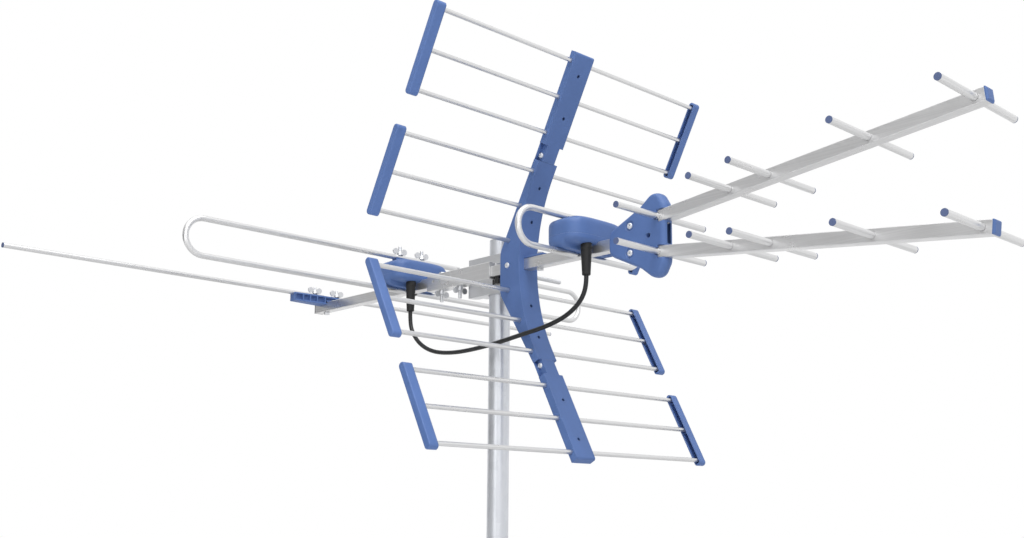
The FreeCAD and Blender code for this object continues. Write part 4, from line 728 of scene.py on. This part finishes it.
# Pods: two blunt nylon boxes that straddle the booms and hold the matching boards. Each is a
# base and a cover, moulded with round corners, with a saddle on top in which the loop lies.
pod_nylon = moulding(
    "pod_nylon", dark=(0.085, 0.160, 0.385), light=(0.098, 0.180, 0.428), worn_and_highlit=(0.17, 0.26, 0.53),
    corner_radius=0.0012, dull_low=0.38, dull_high=0.50,
)
uhf_x = 0.186
vhf_x = -0.174
rear_boom_rise = 0.0035
pod_centre = 0.0075
pod_half_depth = 0.0305
pod_half_width = 0.051
pod_low = -0.0025
pod_seam = 0.014
pod_step = 0.015
pod_step_height = 0.006
pod_step_half = 0.001
pod_shoulder = 0.038
pod_shoulder_drop = 0.0016
pod_shoulder_run = 0.002
pod_wall = 0.0015
plan_roundness = 3.6
edge_roundness = 5.5


def signed_power(value, power):
    """A power that keeps the sign of what it is raised from."""
    return np.sign(value) * np.abs(value) ** power


def ease(value, first, last):
    """Nought before the first value, one after the last, and a smooth rise between them."""
    share = np.clip((value - first) / (last - first), 0, 1)
    return share * share * (3 - 2 * share)


def pod_half(x, rise, crown, is_cover):
    """Half of a blunt box, cut at the seam: x and y follow a rounded oval of one roundness, and the
    height follows a second one. The ends drop by a shoulder and the front of the base is stepped up."""
    middle = (crown + pod_low) / 2
    half_height = (crown - pod_low) / 2
    seam_turn = np.arcsin(signed_power((pod_seam - middle) / half_height, edge_roundness / 2))
    first_turn = seam_turn if is_cover else -np.pi / 2
    last_turn = np.pi / 2 if is_cover else seam_turn

    def surface(along, around):
        turn = first_turn + (last_turn - first_turn) * along
        angle = 2 * np.pi * around
        inward = np.abs(np.cos(turn)) ** (2 / edge_roundness)
        out_x = pod_centre + pod_half_depth * inward * signed_power(np.sin(angle), 2 / plan_roundness)
        out_y = pod_half_width * inward * signed_power(np.cos(angle), 2 / plan_roundness)
        height = middle + half_height * signed_power(np.sin(turn), 2 / edge_roundness)
        share = np.clip((height - pod_seam) / (crown - pod_seam), 0, 1)
        dropped = ease(np.abs(out_y), pod_shoulder, pod_shoulder + pod_shoulder_run)
        height = height - pod_shoulder_drop * share * dropped
        share = np.clip((pod_seam - height) / (pod_seam - pod_low), 0, 1)
        stepped = ease(out_x, pod_step - pod_step_half, pod_step + pod_step_half)
        height = height + pod_step_height * share * stepped
        return x + out_x, boom_middle + out_y, rise + height

    return surface


saddle_half_width = 0.006
saddle_half_length = 0.030
saddle_lip = 0.001
saddle_sink = 0.004
groove_first = np.pi * 1.08
groove_last = np.pi * 1.92
groove_points = 15
dipole_radius = 0.004


def loop_saddle(x, tube_height, depth):
    """A bar with a round groove along its top: its outline is carried along Y, and drawn in to a
    point at both ends to close it."""
    arc = np.linspace(groove_first, groove_last, groove_points)
    wide = saddle_half_width
    outline_x = np.concatenate(([-wide, -wide], dipole_radius * np.cos(arc), [wide, wide]))
    outline_z = np.concatenate(([-depth, -saddle_lip], dipole_radius * np.sin(arc), [-saddle_lip, -depth]))
    rings = np.array((-1, -1, 1, 1)) * saddle_half_length
    spread = np.array((0, 1, 1, 0))

    def surface(along, around):
        ring = np.rint(along * (len(rings) - 1)).astype(int)
        corner = np.rint(around * len(outline_x)).astype(int) % len(outline_x)
        lift = -depth / 2 + spread[ring] * (outline_z[corner] + depth / 2)
        return x + spread[ring] * outline_x[corner], boom_middle + rings[ring], tube_height + lift

    return surface, len(outline_x)


for label, pod_x, pod_rise, pod_crown, loop_height in (
    ("uhf", uhf_x, 0.0, 0.0390, 0.043),
    ("vhf", vhf_x, rear_boom_rise, 0.0375, 0.048),
):
    for half in ("base", "cover"):
        shape = pod_half(pod_x, pod_rise, pod_crown, half == "cover")
        mesh = grid_mesh(f"{label}_pod_{half}_shell", shape, steps_u=56, steps_v=160, closed_v=True)
        shell = add_piece(f"{label}_pod_{half}_shell", mesh, pod_nylon, pod_wall)
        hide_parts(f"{label}_pod_{half}")
    saddle_depth = loop_height - pod_rise - pod_crown + saddle_sink
    saddle_shape, corners = loop_saddle(pod_x, loop_height, saddle_depth)
    mesh = grid_mesh(f"{label}_loop_saddle", saddle_shape, steps_u=4, steps_v=corners, closed_v=True)
    mesh.polygons.foreach_set("use_smooth", np.zeros(len(mesh.polygons), bool))
    add_piece(f"{label}_loop_saddle", mesh, pod_nylon)

# Matching boards: a small green circuit board of glass and resin inside each pod, clipped between
# the base and the cover. It joins the loop to the cable.
board_green, tree, shader = new_finish("board_green")
pattern = use_effect(tree, mould_grain, scale=260.0)
tone = between(tree, pattern.outputs["Pebble"], (0.02, 0.09, 0.04, 1), (0.05, 0.17, 0.08, 1))
tree.links.new(tone, shader.inputs["Base Color"])
shader.inputs["Roughness"].default_value = 0.35
dress(board_green, "uhf_balun_board", "vhf_balun_board")

# Boots: tapered black rubber sleeves, one below each pod, that grip the cable's ends.
# Each is a turned shape with a rim at the pod and a rounded lip at the foot.
boot_rubber = moulding(
    "boot_rubber", dark=(0.008, 0.008, 0.009), light=(0.012, 0.012, 0.012), worn_and_highlit=(0.04, 0.04, 0.04),
    corner_radius=0.0008, dull_low=0.46, dull_high=0.6,
)
boot_side = -0.0439
boot_foot = -0.0367
boot_profile = np.array([
    (0.0031, boot_foot), (0.0048, boot_foot), (0.0054, -0.0362), (0.0056, -0.0352), (0.0056, -0.0330),
    (0.0059, -0.0280), (0.0064, -0.0180), (0.0068, -0.0080), (0.0071, -0.0030), (0.0075, -0.0020),
    (0.0075, 0.0008), (0.0072, 0.0035), (0.0072, 0.0060),
])


def boot_shape(x, y, rise):
    """A profile of radius against height, turned about the cable's exit. Its top is raised by the
    rise and its foot stays, with the rest stretched between them."""

    def surface(along, around):
        step = along * (len(boot_profile) - 1)
        reach = np.interp(step, np.arange(len(boot_profile)), boot_profile[:, 0])
        height = np.interp(step, np.arange(len(boot_profile)), boot_profile[:, 1])
        height = height + rise * (height - boot_foot) / -boot_foot
        angle = 2 * np.pi * around
        return x + reach * np.sin(angle), y + reach * np.cos(angle), height

    return surface


for label, boot_x, rise in (("uhf_boot", 0.212, 0.0), ("vhf_boot", -0.148, rear_boom_rise)):
    shape = boot_shape(boot_x, boot_side, rise)
    mesh = grid_mesh(label + "_sleeve", shape, steps_u=73, steps_v=48, closed_v=True)
    sleeve = add_piece(label + "_sleeve", mesh, boot_rubber)
    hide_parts(label)

# Jumper cable: a black coaxial lead that hangs from the front pod to the rear one.
# It is a round plastic sheath, pushed into a rubber boot at each end.
cable_diameter = 0.006
cable_route = [
    (0.212, -0.0439, -0.0367), (0.212, -0.0439, -0.052), (0.202, -0.0446, -0.070),
    (0.180, -0.0462, -0.085), (0.146, -0.0486, -0.095), (0.098, -0.0503, -0.101),
    (0.050, -0.0496, -0.1065), (0.000, -0.0486, -0.110), (-0.048, -0.0474, -0.110),
    (-0.092, -0.0462, -0.1035), (-0.124, -0.0452, -0.088), (-0.143, -0.0444, -0.067),
    (-0.148, -0.0439, -0.050), (-0.148, -0.0439, -0.0367),
]
cable_sheath = moulding(
    "cable_sheath", dark=(0.009, 0.010, 0.011), light=(0.014, 0.015, 0.017), worn_and_highlit=(0.04, 0.04, 0.04),
    corner_radius=0.0004, dull_low=0.30, dull_high=0.42,
)
cable_line = bpy.data.curves.new("jumper_lead", "CURVE")
cable_line.dimensions = "3D"
cable_line.bevel_depth = cable_diameter / 2
cable_line.bevel_resolution = 6
cable_line.resolution_u = 10
cable_line.use_fill_caps = True
spline = cable_line.splines.new("NURBS")
spline.points.add(len(cable_route) - 1)
for point, place in zip(spline.points, cable_route):
    point.co = (*place, 1.0)
spline.order_u = 3
spline.use_endpoint_u = True
cable_line.materials.append(cable_sheath)
jumper_lead = bpy.data.objects.new("jumper_lead", cable_line)
scene.collection.objects.link(jumper_lead)
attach(jumper_lead, "antenna")
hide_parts("jumper_cable")

# Bracket: two halves moulded in blue nylon, which close on the front boom and on the roots of both
# director booms and are drawn together by two screws in round recesses. Each half is a shell with
# a rounded rim, a notch over each director boom and half of a slot in front.
director_one = 0.3213
fan_apex = 0.1168
fan_slope = math.radians(6.13)
bracket_depth = 0.0095
bracket_corner = 0.0130
back_rim = 0.0045
front_rim = 0.0085
back_rim_x = director_one - 0.012
front_rim_x = director_one + 0.008
rim_roundness = 2.4
bracket_middle = director_one - 0.020
bracket_wall = 0.0012
parting_gap = 0.0002
bracket_screw_x = 0.2775
bracket_screw_z = 0.01726
bracket_screw_radius = 0.0042
bracket_screw_height = 0.0025
recess_radius = 0.0069
recess_floor = 0.0082
middle_hole_x = director_one - 0.0134
middle_hole_radius = 0.0031
middle_hole_floor = 0.0010
notch_half = 0.0081
notch_radius = 0.0050
notch_floor = 0.00775
boom_way_x = director_one - 0.07
boom_way_half = 0.0074
front_slot_half = 0.0135
front_slot_depth = 0.0038
bracket_rays = 360
bracket_rings = 100
ring_crowding = 1.6
longest_ray = 0.1
halvings = 40
edge_catch = 0.0003
edge_margin = 1e-5
bracket_upper = [(-0.0803, 0.015), (-0.0283, 0.039), (-0.0103, 0.0525), (0.0027, 0.0525), (0.0127, 0.036)]


def inset_corners(points, inset):
    """Corners of a polygon with its sides moved in: each solves the lines of the two sides it joins."""
    sides = np.roll(points, -1, axis=0) - points
    inward = np.stack((sides[:, 1], -sides[:, 0]), axis=1) / np.linalg.norm(sides, axis=1)[:, None]
    levels = (points * inward).sum(axis=1) + inset
    pairs = np.stack((np.roll(inward, 1, axis=0), inward), axis=1)
    return np.linalg.solve(pairs, np.stack((np.roll(levels, 1), levels), axis=1)[..., None])[..., 0]


bracket_outline = np.array(
    [(director_one + x, z) for x, z in bracket_upper]
    + [(director_one + x, -z) for x, z in reversed(bracket_upper)]
)
bracket_core = inset_corners(bracket_outline, bracket_corner)


def depth_inside(x, z):
    """Distance in from the rounded outline: to the nearest side of the core, signed by a crossing
    count, plus the corner radius."""
    nearest = np.full(x.shape, np.inf)
    inside = np.zeros(x.shape, bool)
    for (x0, z0), (x1, z1) in zip(bracket_core, np.roll(bracket_core, -1, axis=0)):
        run, rise = x1 - x0, z1 - z0
        part = np.clip(((x - x0) * run + (z - z0) * rise) / (run ** 2 + rise ** 2), 0, 1)
        nearest = np.minimum(nearest, np.hypot(x - x0 - part * run, z - z0 - part * rise))
        if rise:
            inside ^= ((z0 > z) != (z1 > z)) & (x < x0 + (z - z0) * run / rise)
    return np.where(inside, nearest, -nearest) + bracket_corner


def screw_recess(x, z):
    """Distance out from the two round recesses."""
    return np.hypot(x - bracket_screw_x, np.abs(z) - bracket_screw_z) - recess_radius


def middle_hole(x, z):
    """Distance out from the blind hole between the booms."""
    return np.hypot(x - middle_hole_x, z) - middle_hole_radius


def boom_notch(x, z):
    """Distance out from the two notches, each a strip along a boom joined to a round hole for the
    rod: the larger of two distances makes the strip, and the smaller of two joins the hole to it."""
    along = (x - fan_apex) * math.cos(fan_slope) + np.abs(z) * math.sin(fan_slope)
    across = np.abs(z) * math.cos(fan_slope) - (x - fan_apex) * math.sin(fan_slope)
    first = (director_one - fan_apex) / math.cos(fan_slope)
    strip = np.maximum(first - along, np.abs(across) - notch_half)
    return np.minimum(strip, np.hypot(along - first, across) - notch_radius)


def bracket_half(name, side):
    """Rays from a middle point out to the rounded outline, found by halving. The depth d in from the
    outline gives the height (1 - (1 - d / rim)^p)^(1 / p) up to the rim's width. Recess, hole and
    notch are let in, after the points near their edges are moved onto them. Each notch is left open,
    and so are the way in for the boom and the slot between the halves in front."""
    angle = np.linspace(0, 2 * np.pi, bracket_rays, endpoint=False)
    near = np.zeros(bracket_rays)
    far = np.full(bracket_rays, longest_ray)
    for _ in range(halvings):
        half = (near + far) / 2
        inside = depth_inside(bracket_middle + half * np.cos(angle), half * np.sin(angle)) > 0
        near = np.where(inside, half, near)
        far = np.where(inside, far, half)
    reach = (1 - np.linspace(1, 0, bracket_rings) ** ring_crowding)[:, None] * near
    x = bracket_middle + reach * np.cos(angle)
    z = reach * np.sin(angle)
    tiny = 1e-6
    for feature in (screw_recess, middle_hole, boom_notch):
        gap = feature(x, z)
        slope_x = (feature(x + tiny, z) - feature(x - tiny, z)) / (2 * tiny)
        slope_z = (feature(x, z + tiny) - feature(x, z - tiny)) / (2 * tiny)
        close = np.abs(gap) < edge_catch
        x = x - close * gap * slope_x
        z = z - close * gap * slope_z
    rim = np.interp(x, (back_rim_x, front_rim_x), (back_rim, front_rim))
    inward = np.clip(depth_inside(x, z) / rim, 0, 1)
    share = (1 - (1 - inward) ** rim_roundness) ** (1 / rim_roundness)
    height = parting_gap + (bracket_depth - parting_gap) * share
    kind = np.zeros(x.shape, int)
    let_in = ((screw_recess, recess_floor), (middle_hole, middle_hole_floor), (boom_notch, notch_floor))
    for number, (feature, lowered) in enumerate(let_in, start=1):
        kind[feature(x, z) < -edge_margin] = number
        height = np.where(kind == number, np.minimum(height, lowered), height)
    in_notch = kind == len(let_in)
    boom_way = (x < boom_way_x) & (np.abs(z) < boom_way_half) & (height < boom_way_half)
    front_slot = (x > director_one) & (np.abs(z) < front_slot_half) & (height < front_slot_depth)
    open_point = in_notch | boom_way | front_slot
    numbers = np.arange(x.size).reshape(x.shape)

    def face_corners(values):
        turned = np.roll(values, -1, axis=1)
        return np.stack((values[:-1], turned[:-1], turned[1:], values[1:]), axis=-1).reshape(-1, 4)

    kept = ~face_corners(open_point).all(axis=1)
    kinds = face_corners(kind)[kept]
    points = np.stack((x, boom_middle + side * height, z), axis=-1).reshape(-1, 3)
    faces = face_corners(numbers)[kept][:, ::side]
    mesh = bpy.data.meshes.new(name)
    mesh.from_pydata(points.tolist(), [], faces.tolist())
    mesh.polygons.foreach_set("use_smooth", (kinds == kinds[:, :1]).all(axis=1))
    return mesh


for side, label in ((-1, "bracket_near_half"), (1, "bracket_far_half")):
    mesh = bracket_half(label + "_shell", side)
    shell = add_piece(label + "_shell", mesh, blue_nylon, bracket_wall)
    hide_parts(label)
bracket_screw_places = [
    (bracket_screw_x, boom_middle + side * recess_floor, level * bracket_screw_z, side)
    for side in (-1, 1) for level in (-1, 1)
]
head_shape = screw_heads(bracket_screw_places, bracket_screw_radius, bracket_screw_height)
mesh = grid_set("bracket_screw_heads", head_shape, steps_u=40, steps_v=64)
bracket_screw_heads = add_piece("bracket_screw_heads", mesh, screw_bright)
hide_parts("bracket_screws")

# Directors: two square booms that fan out from the bracket, each with five round tubes pushed
# through it. The booms end in blue caps and the tubes in small dark plugs.
dress(boom_aluminium, "upper_director_boom", "lower_director_boom")
dress(rod_aluminium, "upper_directors", "lower_directors")
dress(blue_nylon, "director_boom_plugs")
plug_nylon = moulding(
    "plug_nylon", dark=(0.092, 0.125, 0.25), light=(0.110, 0.150, 0.29), worn_and_highlit=(0.14, 0.18, 0.33),
    corner_radius=0.0004, dull_low=0.45, dull_high=0.6,
)
dress(plug_nylon, "tip_plugs")

# Tail rod: two half rods of aluminium tube behind the rear loop, each held by a bolt with a wing
# nut in the seat of a ribbed nylon holder, which is moulded and straddles the rear boom.
dress(rod_aluminium, "tail_rod_left", "tail_rod_right")
holder_x = -0.394
holder_near = -0.065
holder_far = 0.030
holder_wide = 0.011
holder_narrow = 0.007
holder_wide_half = 0.015
holder_foot = 0.0065
holder_crown = 0.020
holder_end_height = 0.01025
rear_boom_top = 0.011
rear_boom_half = 0.0078
rib_places = np.array((-0.0635, -0.050, -0.0375, -0.025, -0.0105, 0.0105, 0.0285))
rib_half = 0.0009
pocket_depth = 0.0045
flange = 0.0024
rod_seat = 0.0036
seat_points = 7
inner_edge = 0.999
between_edges = 0.9995


def tail_holder():
    """An outline of a channel with a round seat on top and a pocket in each side, carried along Y.
    The width tapers to both ends, and the pockets close where a rib crosses them. Each sharp step
    along Y is two rings that lie almost at the same place."""
    seat = np.linspace(0, -np.pi / 2, seat_points)
    pocket = np.array([0, 0, 1, 1, 0, 0])
    from_level = np.array([0, flange, flange, -flange, -flange, 0])
    from_top = np.array([0, 0, 0, 1, 1, 1])
    steps = np.array((-1, -inner_edge, inner_edge, 1))
    rib_edges = (rib_places[:, None] + rib_half * steps).ravel()
    ends = [holder_near, holder_near, holder_far, holder_far]
    runs = np.sort(np.concatenate((ends, rib_edges, rear_boom_half * steps)))
    on_rib = np.abs(runs[:, None] - rib_places).min(axis=1) <= between_edges * rib_half
    on_rib = on_rib | (runs <= holder_near) | (runs >= holder_far)
    width = np.interp(
        runs, (holder_near, -holder_wide_half, holder_wide_half, holder_far),
        (holder_narrow, holder_wide, holder_wide, holder_narrow),
    )
    foot = np.where(np.abs(runs) < between_edges * rear_boom_half, rear_boom_top, holder_foot)
    depth = np.where(on_rib, 0.0, pocket_depth)
    shrink = np.ones(len(runs))
    shrink[[0, -1]] = 0.0
    side_x = width[:, None] - depth[:, None] * pocket
    side_z = np.where(from_top, holder_crown, foot[:, None]) + from_level
    seat_x = np.broadcast_to(rod_seat * np.cos(seat), (len(runs), len(seat)))
    seat_z = np.broadcast_to(holder_crown + rod_seat * np.sin(seat), (len(runs), len(seat)))
    half_x = np.concatenate((side_x, seat_x), axis=1)
    half_z = np.concatenate((side_z, seat_z), axis=1)
    outline_x = np.concatenate((half_x, -half_x[:, -2::-1]), axis=1) * shrink[:, None]
    outline_z = np.concatenate((half_z, half_z[:, -2::-1]), axis=1)
    outline_z = holder_end_height + (outline_z - holder_end_height) * shrink[:, None]
    count = outline_x.shape[1]

    def surface(along, around):
        ring = np.rint(along * (len(runs) - 1)).astype(int)
        corner = np.rint(around * count).astype(int) % count
        return holder_x + outline_x[ring, corner], boom_middle + runs[ring], outline_z[ring, corner]

    return surface, len(runs), count


holder_shape, holder_rings, holder_corners = tail_holder()
mesh = grid_mesh("tail_holder_ribs", holder_shape, holder_rings, holder_corners, closed_v=True)
mesh.polygons.foreach_set("use_smooth", np.zeros(len(mesh.polygons), bool))
tail_holder_ribs = add_piece("tail_holder_ribs", mesh, blue_nylon)
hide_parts("tail_rod_holder")

# Fasteners: zinc-plated hex bolts with rolled threads, and pressed wing nuts. They hold the booms
# in the coupler, the hub on the boom, the rear loop on its pod and the tail rod in its holder.
dress(zinc_plate, "hex_bolts", "wing_nuts")
coupler_run = (-0.0267, -0.0157)
dipole_run = (0.0576, 0.0647)
tail_run = (0.0290, 0.0337)
bolt_radius = 0.0025
tail_bolt_radius = 0.002
thread_pitch = 0.0008
thread_depth = 0.0003
# Each bolt: its place along and across the boom, the run of its thread, and its radius
threads = {
    "coupler_front": (-0.057, 0.0, coupler_run, bolt_radius),
    "coupler_rear": (-0.098, 0.0, coupler_run, bolt_radius),
    "dipole_left": (vhf_x, -0.0206, dipole_run, bolt_radius),
    "dipole_right": (vhf_x, 0.0206, dipole_run, bolt_radius),
    "tail_left": (holder_x, -0.024, tail_run, tail_bolt_radius),
    "tail_right": (holder_x, 0.018, tail_run, tail_bolt_radius),
}
for label, (bolt_x, offset, (first, last), radius) in threads.items():
    thread = thread_on(2, (bolt_x, boom_middle + offset), first, last, radius, thread_pitch, thread_depth)
    mesh = grid_mesh(f"{label}_thread", thread, steps_u=120, steps_v=20, closed_v=True)
    add_piece(f"{label}_thread", mesh, zinc_plate)
